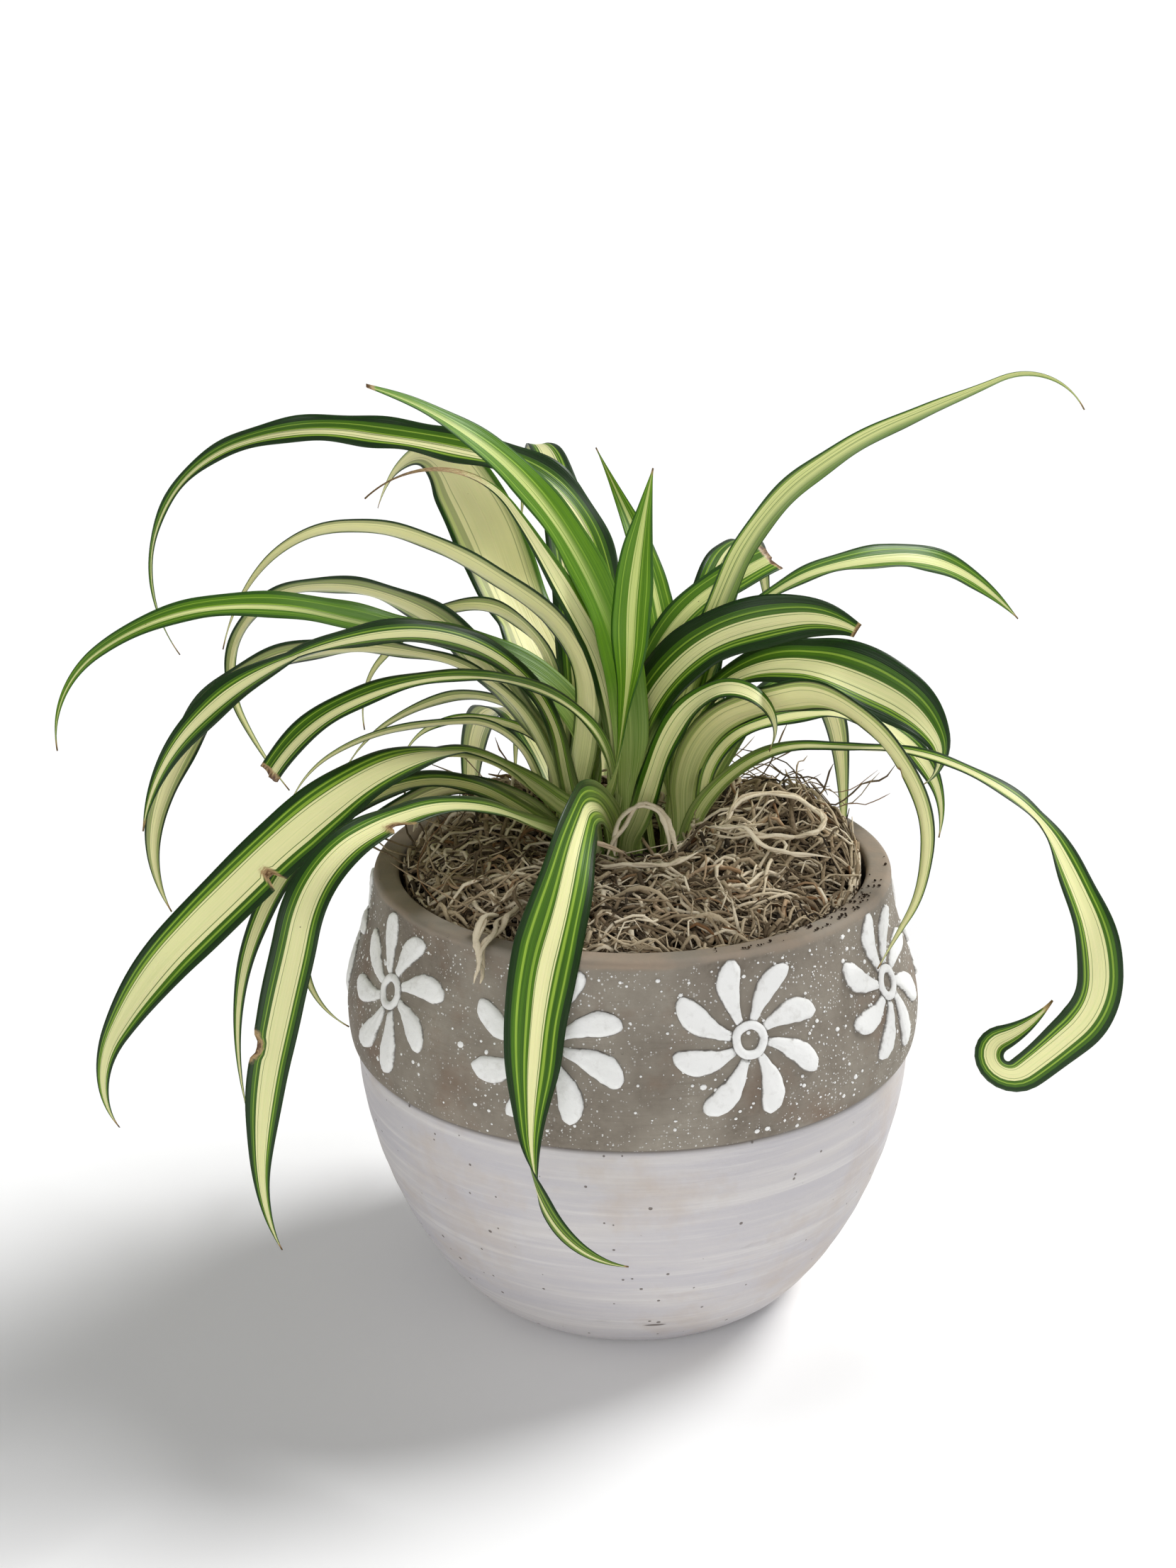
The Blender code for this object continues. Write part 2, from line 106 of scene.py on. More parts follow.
LEAVES = (
    Leaf("left_01", "middle", 165, 19, 265, 13, "fine", (85, 95, 70, 10, 5, -20, -70, -125),
         (165, 165, 170), (-20, -20, -50, -70)),
    Leaf("left_02", "left", 0, 32, 185, 14, "fine", (85, 35, 15, 15, -5, -35, -95),
         (190, 190), (-60, -10, -30, -80)),
    Leaf("left_03", "middle", 258, 31, 140, 13, "blunt", (95, 75, 60, 40, 20),
         (200, 195), (-110, -60, -50, -10)),
    Leaf("left_04", "left", 73, 20, 165, 21, "broad", (65, 45, 35, 50, 35, -25, -65),
         (115, 120, 135), (-30, 10, -50, -70)),
    Leaf("left_05", "middle", 213, 29, 135, 10, "tail", (95, 75, 60, 60, 55, 10, -40),
         (225, 215, 200), (-140, -70, -90, -50)),
    Leaf("left_06", "left", 240, 19, 190, 10, "fine", (110, 95, 30, 20, -5, -45, -75),
         (150, 160), (110, 60, 50, 40)),
    Leaf("left_07", "left", 185, 21, 180, 12, "fine", (90, 50, 45, 15, -10, -60, -115, -130),
         (165, 165), (40, 80, 40, 20, 40)),
    Leaf("left_08", "left", 285, 9, 185, 14, "late", (75, 80, 40, 5, -15, -40, -80),
         (205, 205), (-90, -40, 10, -90)),
    Leaf("left_09", "front", 25, 25, 125, 10, "cut", (105, 50, 20, 0, -20, -55), (205, 205), (-50, 0, -20)),
    Leaf("left_10", "left", 199, 18, 190, 12, "late", (90, 55, 15, -5, -50, -70, -115),
         (190, 190), (30, 40, 50, 90)),
    Leaf("left_11", "front", 165, 20, 190, 16, "band", (45, 40, 0, -25, -35, -35, -55, -120),
         (215, 215), (-50, 10, -40, -40, -30)),
    Leaf("left_12", "front", 175, 13, 165, 11, "fine", (45, 35, -5, -40, -65, -85, -100),
         (205, 205), (-40, 0, -30, -50)),
    Leaf("left_13", "front", 220, 16, 200, 13, "band", (30, 30, 10, -10, -70, -70, -85, -115),
         (230, 230), (-30, 0, -20, -30)),
    Leaf("left_14", "left", 205, 11, 130, 10, "fine", (65, 20, -25, -45, -60, -100, -145),
         (185, 195), (40, 60, 90)),
    Leaf("left_15", "left", 180, 11, 110, 5, "fine", (80, 65, -5, -15, -35, -70), (165, 170), (60, 40, 70)),
    Leaf("left_16", "left", 148, 9, 105, 6, "fine", (85, 85, 20, -20, -35, -60), (155, 160), (50, 50, 70)),
    Leaf("left_17", "left", 62, 7, 90, 7, "fine", (65, 65, 15, -5, -30, -70), (145, 150), (30, 0, -90)),
    Leaf("left_18", "left", 134, 16, 135, 8, "fine", (80, 95, 65, 5, -35, -50, -100),
         (150, 155), (100, 60, 40, 50)),
    Leaf("centre_01", "right", 135, 31, 95, 12, "fine", (65, 80, 60, 45, 45), (110, 125), (30, 20, -70)),
    Leaf("centre_02", "front", 355, 26, 94, 12, "late", (75, 83, 87, 83, 79), (350, 350), (-10, 70, 70)),
    Leaf("right_01", "right", 183, 30, 180, 11, "fine", (80, 70, 65, 35, 20, 20, -60),
         (15, 15), (-60, -60, -60, -50)),
    Leaf("right_02", "middle", 69, 29, 80, 12, "cut", (80, 85, 45, 20, 15), (40, 35), (20, 10, 30)),
    Leaf("right_03", "middle", 18, 32, 85, 18, "blunt", (110, 65, 45, 20, 5, -30), (-5, 0), (40, 40, 90)),
    Leaf("right_04", "right", 220, 27, 115, 19, "late", (85, 65, 40, 10, -15, -25, -60, -150),
         (-15, -15), (90, 30, 30, 60, 20)),
    Leaf("right_05", "right", 267, 19, 170, 12, "fine", (95, 55, 25, 20, -15, -40, -90, -120, -120),
         (-45, -55), (-30, -40, -60, -90, -90)),
    Leaf("right_06", "middle", 265, 12, 85, 10, "blunt", (65, 70, 70, 55, 30, -35, -120),
         (-40, -25), (90, 60, -20)),
    Leaf("right_07", "right", 281, 6, 240, 13, "paddle",
         (90, 55, 35, 5, 5, -15, -30, -60, -65, -85, -130, -135, -330, -300),
         (-25, -15), (80, 0, -5, 80, 60)),
    Leaf("right_08", "right", 27, 21, 165, 13, "late", (95, 80, 30, 5, -5, -30, -45),
         (40, 30), (10, -20, 20, 100)),
    Leaf("right_09", "right", 310, 6, 125, 10, "late", (95, 80, 15, -5, -30, -60, -100),
         (20, 15), (60, 0, 100)),
    Leaf("front_01", "front", 350, 16, 180, 19, "strap", (65, 25, 5, -40, -55, -65, -65, -35, 0),
         (250, 265, 245, 275, 350), (-90, -70, -50, -40, -30)),
    Leaf("back_01", "left", 60, 22, 175, 14, "fine", (85, 75, 60, 35, 0, -40, -75),
         (102, 102), (-30, 10, 0, -10)),
    Leaf("back_02", "right", 85, 21, 150, 15, "fine", (80, 65, 45, 15, -20, -55, -80),
         (72, 74), (0, -10, 0, 10)),
    Leaf("back_03", "right", 125, 8, 150, 13, "fine", (50, 30, 10, -30, -65, -80, -85),
         (105, 101), (0, 10, 10, 20)),
    Leaf("back_04", "right", 30, 18, 145, 12, "fine", (55, 30, 5, -35, -70, -85, -90),
         (55, 58), (0, -10, -10, 0)),
    Leaf("back_05", "left", 105, 10, 140, 14, "fine", (50, 30, 5, -30, -70, -85, -95),
         (116, 112), (0, 10, 0, 0)),
    Leaf("back_06", "right", 90, 14, 130, 11, "fine", (60, 40, 15, -20, -55, -80, -90),
         (82, 80), (0, 0, 10, 10)),
    Leaf("back_07", "left", 60, 15, 120, 10, "fine", (65, 50, 25, -15, -50, -75, -90),
         (108, 110), (-30, -10, 0, 0)),
)


class Look(NamedTuple):
    """How one leaf is coloured, dried and nicked; widths are shares of the blade's half width.

    A twist turns the blade over: (where along it, degrees, over what share of its length).
    A nick is a dry bite: (where along it, side, depth, share of its length). greened says
    how far the cream is hidden by green in the blade's first half, pale how washed out the
    blade's upper side is.
    """
    cream: float = 0.40
    shift: float = 0.0
    margin: float = 0.22
    young: float = 0.0
    lines: int = 3
    wave: float = 0.05
    dry_tip: float = 0.02
    specks: float = 0.5
    under: float = 0.32
    pale: float = 0.0
    greened: float = 0.0
    twist: tuple = (0.5, 0, 0.1)
    nicks: tuple = ()


YOUNG_LEAVES = ("left_02", "left_03", "centre_01", "centre_02")

LOOKS = {
    "left_01": Look(cream=0.17, shift=-0.26, margin=0.34, wave=0.12, under=0.1),
    "left_02": Look(cream=0.15, shift=-0.22, margin=0.20, young=0.5, under=0.1, greened=0.9),
    "left_03": Look(cream=0.10, shift=-0.12, margin=0.14, young=0.9, lines=2, under=0.1, greened=0.9),
    "left_04": Look(cream=0.66, shift=0.06, margin=0.17, specks=0.7, pale=0.45),
    "left_05": Look(cream=0.60, margin=0.30, lines=1, dry_tip=0.30),
    "left_06": Look(cream=0.62, margin=0.18, lines=1, under=0.5),
    "left_07": Look(cream=0.42, margin=0.26, lines=2, wave=0.08),
    "left_08": Look(cream=0.30, margin=0.36, lines=2),
    "left_09": Look(cream=0.36, shift=-0.14, margin=0.18, dry_tip=0.012),
    "left_10": Look(cream=0.44, margin=0.22, wave=0.10),
    "left_11": Look(cream=0.50, shift=0.05, margin=0.22, specks=0.8, wave=0.03,
                    nicks=((0.57, -1, 0.55, 0.006),)),
    "left_12": Look(cream=0.44, shift=-0.05, margin=0.26, lines=2),
    "left_13": Look(
        cream=0.46, margin=0.24, lines=2, specks=1.0, dry_tip=0.015, wave=0.03,
        nicks=((0.38, -1, 0.60, 0.012), (0.72, 1, 0.25, 0.012))),
    "left_17": Look(cream=0.56, margin=0.18, wave=0.10, dry_tip=0.04),
    "left_18": Look(cream=0.60, margin=0.16, wave=0.14),
    "centre_01": Look(cream=0.22, margin=0.14, young=0.9),
    "centre_02": Look(cream=0.24, margin=0.14, young=1.0),
    "right_01": Look(cream=0.22, shift=0.60, margin=0.12, young=0.6, lines=2, under=0.1),
    "right_02": Look(cream=0.30, margin=0.18, young=0.6, dry_tip=0.012),
    "right_03": Look(cream=0.32, shift=0.04, margin=0.32, dry_tip=0.004),
    "right_04": Look(cream=0.32, shift=0.10, margin=0.32, specks=0.8),
    "right_05": Look(cream=0.58, margin=0.16, lines=4, specks=0.8, nicks=((0.62, -1, 0.30, 0.006),)),
    "right_06": Look(cream=0.62, margin=0.14, lines=0),
    "right_07": Look(cream=0.40, margin=0.24),
    "right_08": Look(cream=0.34, margin=0.16, young=0.4),
    "right_09": Look(cream=0.50, margin=0.20, wave=0.12),
    "front_01": Look(
        cream=0.21, shift=-0.14, margin=0.24, lines=4, specks=0.3, dry_tip=0.008, wave=0.02,
        under=0.05, twist=(0.81, -60, 0.05)),
}


# ---------------------------------------------------------------- shader building helpers

def rgb(red, green, blue):
    """Linear colour from everyday 0-255 screen values."""
    def linear(value):
        value = value / 255
        return value / 12.92 if value <= 0.04045 else ((value + 0.055) / 1.055) ** 2.4
    return (linear(red), linear(green), linear(blue), 1.0)


class Signal:
    """A number or colour inside a skin's shader, with everyday arithmetic."""

    def __init__(self, skin, socket):
        self.skin = skin
        self.socket = socket

    def calc(self, operation, other=0.0):
        return self.skin.node("ShaderNodeMath", {0: self, 1: other}, operation=operation)

    def __add__(self, other):
        return self.calc("ADD", other)

    def __sub__(self, other):
        return self.calc("SUBTRACT", other)

    def __mul__(self, other):
        return self.calc("MULTIPLY", other)

    def __abs__(self):
        return self.calc("ABSOLUTE")

    def scaled(self, low, high, new_low=0.0, new_high=1.0):
        """The number moved from one range to another and kept inside it."""
        return self.skin.node("ShaderNodeMapRange", {0: self, 1: low, 2: high, 3: new_low, 4: new_high})

    def mix(self, first, second):
        """The first colour where this number is 0, the second where it is 1."""
        return self.skin.node("ShaderNodeMix", {0: self, 6: first, 7: second}, 2, data_type="RGBA")

    def ramp(self, stops):
        """Colours along this number's range: (position, colour) from low to high."""
        made = self.skin.node("ShaderNodeValToRGB", {0: self})
        elements = made.socket.node.color_ramp.elements
        while len(elements) < len(stops):
            elements.new(1.0)
        for element, (position, colour) in zip(elements, stops):
            element.position = position
            element.color = colour
        return made

    def output(self, name):
        """Another output of the node that this one comes from."""
        return Signal(self.skin, self.socket.node.outputs[name])


class Skin:
    """A material and the shader nodes that it is built from."""

    def __init__(self, name, roughness, specular):
        self.material = bpy.data.materials.new(name)
        self.material.use_nodes = True
        self.tree = self.material.node_tree
        self.inputs = self.tree.nodes["Principled BSDF"].inputs
        self.inputs["Roughness"].default_value = roughness
        self.inputs["Specular IOR Level"].default_value = specular

    def node(self, kind, inputs=(), output=0, **settings):
        """One output of a new shader node; inputs maps its sockets to values or signals."""
        made = self.tree.nodes.new(kind)
        for key, value in settings.items():
            setattr(made, key, value)
        for key, value in dict(inputs).items():
            if isinstance(value, Signal):
                self.tree.links.new(value.socket, made.inputs[key])
            else:
                made.inputs[key].default_value = value
        return Signal(self, made.outputs[output])

    def here(self):
        """The place on the piece, in metres."""
        return self.node("ShaderNodeTexCoord", (), "Object")

    def attribute(self, name):
        return self.node("ShaderNodeAttribute", (), "Fac", attribute_name=name)

    def vector(self, x, y, z):
        return self.node("ShaderNodeCombineXYZ", {0: x, 1: y, 2: z})

    def noise(self, place_at, scale, detail=2.0, roughness=0.5):
        inputs = {"Vector": place_at, "Scale": scale, "Detail": detail, "Roughness": roughness}
        return self.node("ShaderNodeTexNoise", inputs, "Fac")

    def patches(self, place_at, scale, low, high, most=1.0, detail=4.0):
        """Soft-edged random patches, from 0 outside to most inside."""
        return self.noise(place_at, scale, detail, 0.65).scaled(low, high, 0.0, most)

    def dots(self, place_at, scale, rarest, radius):
        """Small round spots: one cell in a few holds a spot, up to radius cells wide."""
        cells = self.node("ShaderNodeTexVoronoi", {"Vector": place_at, "Scale": scale}, "Color")
        size = self.node("ShaderNodeSeparateColor", {0: cells}).scaled(rarest, 1.0, 0.0, radius)
        return (size - cells.output("Distance")).scaled(0.0, 0.04)

    def stretched(self, place_at, level, upward):
        """The place with its level and upward axes scaled apart, to draw noise out into streaks."""
        return self.node("ShaderNodeMapping", {"Vector": place_at, "Scale": (level, level, upward)})

    def bumped(self, height, distance, strength):
        return self.node("ShaderNodeBump", {"Height": height, "Distance": distance, "Strength": strength})

    def finish(self, **signals):
        """Links signals to the surface's inputs; Base_Color stands for Base Color."""
        for name, signal in signals.items():
            self.tree.links.new(signal.socket, self.inputs[name.replace("_", " ")])
        return self.material


# ---------------------------------------------------------------- mesh building helpers

def stacked(x, y, z):
    """Points from their three coordinates, spread over one grid."""
    return np.stack(np.broadcast_arrays(x, y, z), -1)


def circle(count):
    """Even turns round a circle, the first at 0."""
    return np.linspace(0, 2 * math.pi, count, endpoint=False)


def closed_sheet(upper, under):
    """Rings round a sheet from the grids of its two sides."""
    return np.concatenate((upper, under[:, ::-1]), axis=1)


def tube_faces(rings, around, ends="both"):
    """Faces of a tube of rings; ends says which of its ends are closed, loop joins them."""
    i, j = np.divmod(np.arange((rings if ends == "loop" else rings - 1) * around), around)
    here, after = i * around, (i + 1) % rings * around
    beside = (j + 1) % around
    faces = np.stack((here + j, here + beside, after + beside, after + j), -1).tolist()
    if ends in ("both", "first"):
        faces.append([around - 1 - k for k in range(around)])
    if ends in ("both", "last"):
        faces.append([(rings - 1) * around + k for k in range(around)])
    return faces


class Tubes:
    """Tubes of rings gathered into one piece, with one number kept for every point."""

    def __init__(self):
        self.points, self.faces, self.numbers = [], [], []
        self.count = 0

    def add(self, rings, numbers=0.0, ends="both"):
        faces = tube_faces(*rings.shape[:2], ends)
        self.faces += [[corner + self.count for corner in face] for face in faces]
        self.points.append(rings.reshape(-1, 3))
        self.numbers.append(np.broadcast_to(numbers, rings.shape[:2]).ravel())
        self.count += rings.shape[0] * rings.shape[1]

    def piece(self, name, material, attribute=None, merged=False, smooth=True):
        """The finished piece; merged closes the places where a ring shrinks to a point."""
        mesh = bpy.data.meshes.new(name)
        mesh.from_pydata(np.concatenate(self.points).tolist(), [], self.faces)
        mesh.update()
        mesh.materials.append(material)
        piece = bpy.data.objects.new(name, mesh)
        if smooth:
            mesh.shade_smooth()
        if attribute:
            add_attribute(piece, attribute, np.concatenate(self.numbers))
        if merged:
            shape = bmesh.new()
            shape.from_mesh(mesh)
            bmesh.ops.remove_doubles(shape, verts=shape.verts, dist=0.00001)
            bmesh.ops.recalc_face_normals(shape, faces=shape.faces)
            shape.to_mesh(mesh)
            shape.free()
        bpy.context.scene.collection.objects.link(piece)
        return piece


def ring_piece(name, rings, material, ends="both", merged=False):
    """A piece that is one tube of rings."""
    tubes = Tubes()
    tubes.add(rings, 0.0, ends)
    return tubes.piece(name, material, merged=merged)


def add_attribute(piece, name, values):
    made = piece.data.attributes.new(name, "FLOAT", "POINT")
    made.data.foreach_set("value", np.asarray(values, np.float32).ravel())


def place(piece, slot, *nodes):
    """Ties a finished piece to the plant's body and hides the plain nodes that it stands for; slot is not
    used.
    """
    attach(piece, "root")
    if nodes:
        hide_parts(*nodes)

# ---------------------------------------------------------------- leaves

SECTION_LENGTH = 0.0014
FEWEST_SECTIONS = 48
CELLS_ACROSS = 16
FOLD = 0.25
FOLD_AT_BASE = 0.85
FOLD_ROUNDING = 0.03
SHEATH_SHARE = 0.16
SHEATH_BLEND = 0.008
SHEATH_WIDENING = 0.35
SHEATH_LAYER = 0.0012
SHEATH_GAP = 0.0004
WRAP_EASE = 0.001
RIB_THICKNESS = 0.0007
MARGIN_THICKNESS = 0.00022
FULL_THICKNESS_HALF_WIDTH = 0.003
NARROWEST = 0.00022
PLEATS = 7
PLEAT_DEPTH = 0.00007
WAVE_LENGTH = 0.024
PLEATED_HALF_WIDTH = 0.004
RAGGED_END = 0.0012
NICK_HALO = 1.3
STRIPE_SOFTNESS = 0.008


def spread(values, share):
    """Value at a share of the leaf's length, from values at even steps along it."""
    return np.interp(share, np.linspace(0.0, 1.0, len(values)), values)


def softened(values, reach):
    """The same values with their corners rounded over a number of steps."""
    window = np.hanning(2 * reach + 3)
    padded = np.pad(values, reach + 1, mode="edge")
    return np.convolve(padded, window / window.sum(), mode="valid")


def eased(low, high, value):
    """0 below low and 1 above high, with a smooth change between."""
    share = np.clip((value - low) / (high - low), 0, 1)
    return share * share * (3 - 2 * share)


def shoot_radius(rise):
    """Radius of a shoot at a height above the soil."""
    return SHOOT_FOOT_RADIUS + (SHOOT_TIP_RADIUS - SHOOT_FOOT_RADIUS) / SHOOT_HEIGHT * rise


def beside_shoot(leaf, turn, rise, clearance):
    """Points off the side of the leaf's shoot, at compass turns and heights above the soil."""
    centre = SHOOT_CENTRES[leaf.shoot]
    radius = shoot_radius(rise) + clearance
    return stacked(centre[0] + radius * np.cos(turn), centre[1] + radius * np.sin(turn), SOIL_TOP + rise)


def leaf_frame(leaf, look, distance):
    """Midrib points and, at each, the directions along, across and out of the blade."""
    share = distance * 1000 / leaf.length
    pitch = np.radians(spread(leaf.pitch, share))
    heading = np.radians(spread(leaf.heading, share))
    where, degrees, reach = look.twist
    roll = spread(leaf.roll, share) + degrees * eased(where - reach, where + reach, share)
    roll = np.radians(roll)[:, None]
    level = np.cos(pitch)
    along = stacked(level * np.cos(heading), level * np.sin(heading), np.sin(pitch))
    side = stacked(np.sin(heading), -np.cos(heading), 0.0)
    upper = np.cross(side, along)
    moves = (along[1:] + along[:-1]) / 2 * np.diff(distance)[:, None]
    points = np.vstack((np.zeros(3), np.cumsum(moves, axis=0)))
    seat = beside_shoot(leaf, np.radians(float(leaf.turn)), leaf.rise / 1000, SEAT_CLEARANCE)
    points += seat - points[np.argmin(np.abs(distance))]
    across = side * np.cos(roll) - upper * np.sin(roll)
    normal = upper * np.cos(roll) + side * np.sin(roll)
    return points, across, normal


def side_widths(leaf, look, distance):
    """Half widths of the blade's two sides in metres, with its nicks cut in."""
    share = distance * 1000 / leaf.length
    half = softened(spread(OUTLINES[leaf.outline], share), len(share) // 24) * leaf.width / 2000
    half = np.maximum(half, NARROWEST)
    half *= 1 + SHEATH_WIDENING * np.clip(-distance / (leaf.rise / 1000), 0, 1)
    sides = {1: half.copy(), -1: half.copy()}
    for where, side, depth, reach in look.nicks:
        sides[side] *= 1 - depth * np.exp(-((share - where) / reach) ** 4)
    return sides


def dryness(look, share, u):
    """How brown and dry the blade is: at its tip and round its nicks."""
    dry = np.clip((share - 1 + look.dry_tip) / look.dry_tip, 0, 1)[:, None]
    for where, side, depth, reach in look.nicks:
        away = ((share[:, None] - where) / (reach * NICK_HALO)) ** 2
        away = away + ((u - side) / (depth * NICK_HALO)) ** 2
        dry = np.maximum(dry, np.exp(-away))
    return np.broadcast_to(dry, (len(share), len(u)))


def blade_lift(look, half, distance, u, sheath, random):
    """Height of the blade's surface over its midrib: its fold, wavy margins and pleats."""
    fold = FOLD + (FOLD_AT_BASE - FOLD) * sheath
    lift = fold * half * (np.sqrt(u ** 2 + FOLD_ROUNDING) - math.sqrt(FOLD_ROUNDING))
    for side in (-1, 1):
        phase = random.uniform(0, 2 * math.pi, 2)
        turns = 2 * math.pi * distance / WAVE_LENGTH
        wave = np.sin(turns + phase[0]) + 0.6 * np.sin(turns / 1.7 + phase[1])
        ripple = np.where(u * side > 0, u ** 2, 0) * wave[:, None]
        lift += look.wave * half * ripple * (1 - sheath)
    pleats = PLEAT_DEPTH * np.cos(u * math.pi * PLEATS)
    return lift + pleats * np.clip(half / PLEATED_HALF_WIDTH, 0, 1)


def surface_normals(grid):
    normal = np.cross(np.gradient(grid, axis=1), np.gradient(grid, axis=0))
    return normal / np.maximum(np.linalg.norm(normal, axis=2, keepdims=True), 1e-12)


def wrapped_base(leaf, distance, half, u, first_across):
    """The blade laid round its shoot as a sheath, on the side that the leaf grows from."""
    turn = math.radians(leaf.turn)
    tangent = (-math.sin(turn), math.cos(turn), 0.0)
    hand = 1 if first_across @ tangent > 0 else -1
    rise = (distance + leaf.rise / 1000)[:, None]
    clearance = SHEATH_LAYER * (1 - leaf.rise / 1000 / SHOOT_HEIGHT) + SHEATH_GAP
    wrap = turn + hand * half * u / (shoot_radius(rise) + clearance + WRAP_EASE)
    return beside_shoot(leaf, wrap, np.minimum(rise, SHOOT_HEIGHT), clearance)


def half_thickness(half, u):
    """Half of the blade's thickness: most along the midrib, less where the blade is narrow."""
    thickness = MARGIN_THICKNESS + (RIB_THICKNESS - MARGIN_THICKNESS) * (1 - np.abs(u)) ** 1.5
    return thickness * np.clip(half / FULL_THICKNESS_HALF_WIDTH, 0.3, 1) / 2


def mark_blade(piece, look, distance, share, u):
    """Writes on every point where on the blade it lies and how dry it is, for the colours."""
    flat = np.zeros((len(share), len(u)))
    marks = {"across": flat + u, "along": flat + distance[:, None] * 1000, "share": flat + share[:, None]}
    marks["dry"] = dryness(look, share, u)
    for name, values in marks.items():
        add_attribute(piece, name, closed_sheet(values, values))
    add_attribute(piece, "upper", closed_sheet(flat + 1, flat))


def make_leaf(leaf, look, seed):
    """A channelled, finely pleated blade whose base sheathes the shoot, closed all round."""
    random = np.random.default_rng(seed)
    above = max(FEWEST_SECTIONS, round(leaf.length / 1000 / SECTION_LENGTH))
    step = leaf.length / 1000 / above
    distance = np.arange(-round(leaf.rise / 1000 / step), above + 1) * step
    share = distance * 1000 / leaf.length
    u = np.linspace(-1.0, 1.0, CELLS_ACROSS + 1)
    points, across, normal = leaf_frame(leaf, look, distance)
    sides = side_widths(leaf, look, distance)
    half = np.where(u > 0, sides[1][:, None], sides[-1][:, None])
    sheath = np.clip(1 - np.maximum(share, 0) / SHEATH_SHARE, 0, 1)[:, None] ** 2
    lift = blade_lift(look, half, distance, u, sheath, random)
    grid = points[:, None] + across[:, None] * (half * u)[..., None] + normal[:, None] * lift[..., None]
    wrapped = wrapped_base(leaf, distance, half, u, across[0])
    grid = wrapped + (grid - wrapped) * eased(-SHEATH_BLEND, SHEATH_BLEND, distance)[:, None, None]
    layer = surface_normals(grid) * half_thickness(half, u)[..., None]
    if leaf.outline == "cut":
        ragged = np.interp(u, np.linspace(-1, 1, 7), random.uniform(-1, 1, 7)) * RAGGED_END
        grid[-1] += (grid[-1] - grid[-2]) / step * ragged[:, None]
    rings = closed_sheet(grid + layer, grid - layer)
    piece = ring_piece("leaf_" + leaf.name + "_blade", rings, leaf_material(leaf, look, seed))
    mark_blade(piece, look, distance, share, u)
    slot = "young_leaf" if leaf.name in YOUNG_LEAVES else "striped_leaf"
    place(piece, slot, "leaf_" + leaf.name)


# Leaf colours: for full-grown and young leaves, each with the tone of its fine streaks.
GROWN = {
    "cream": rgb(236, 232, 174), "light": rgb(148, 178, 62), "mid": rgb(74, 114, 18), "deep": rgb(25, 53, 10)}
GROWN_STREAK = {
    "cream": rgb(224, 226, 162), "light": rgb(120, 154, 46), "mid": rgb(48, 84, 14), "deep": rgb(18, 42, 8)}
YOUNG = {
    "cream": rgb(212, 222, 138), "light": rgb(148, 184, 62), "mid": rgb(98, 142, 24), "deep": rgb(52, 96, 14)}
YOUNG_STREAK = {
    "cream": rgb(188, 204, 112), "light": rgb(126, 162, 48), "mid": rgb(74, 118, 18), "deep": rgb(38, 76, 10)}
BASE_PALE = rgb(200, 210, 134)
BASE_STREAK = rgb(112, 144, 54)
UNDER_PALE = rgb(238, 231, 174)
DRY_TAN = rgb(176, 146, 104)
DRY_BROWN = rgb(96, 66, 40)
SPECK_BROWN = rgb(82, 62, 34)


def blended(first, second, share):
    return tuple(a + (b - a) * share for a, b in zip(first, second))


def palette(grown, young, share):
    return {name: blended(grown[name], young[name], share) for name in grown}


def half_stripes(look, side, random):
    """The stripes of one half of the blade, outward: (where each ends, its colour's name)."""
    start = look.cream * random.uniform(0.92, 1.08) + side * look.shift
    edge = 1 - look.margin * random.uniform(0.85, 1.15)
    line = start * random.uniform(0.55, 0.85)
    stripes = [(line, "cream"), (line + random.uniform(0.012, 0.03), "mid"), (start, "cream")]
    lines = look.lines // 2 + (look.lines % 2 if side > 0 else 0)
    for i in range(lines):
        middle = start + (edge - start) * (i + random.uniform(0.35, 0.65)) / lines
        width = random.uniform(0.018, 0.045)
        stripes += [(middle - width, "mid"), (middle + width, "light")]
    return stripes + [(edge, "mid"), (1.1, "deep")]


def stripe_stops(look, random):
    """Ends of the stripes across the blade, from its left edge (0) to its right edge (1)."""
    stops = []
    for side in (-1, 1):
        stripes = half_stripes(look, side, random)
        for (end, inner), (_, outer) in zip(stripes[:-1], stripes[1:]):
            stops.append((0.5 + side * (end - STRIPE_SOFTNESS) / 2, inner))
            stops.append((0.5 + side * (end + STRIPE_SOFTNESS) / 2, outer))
    return sorted(stops)


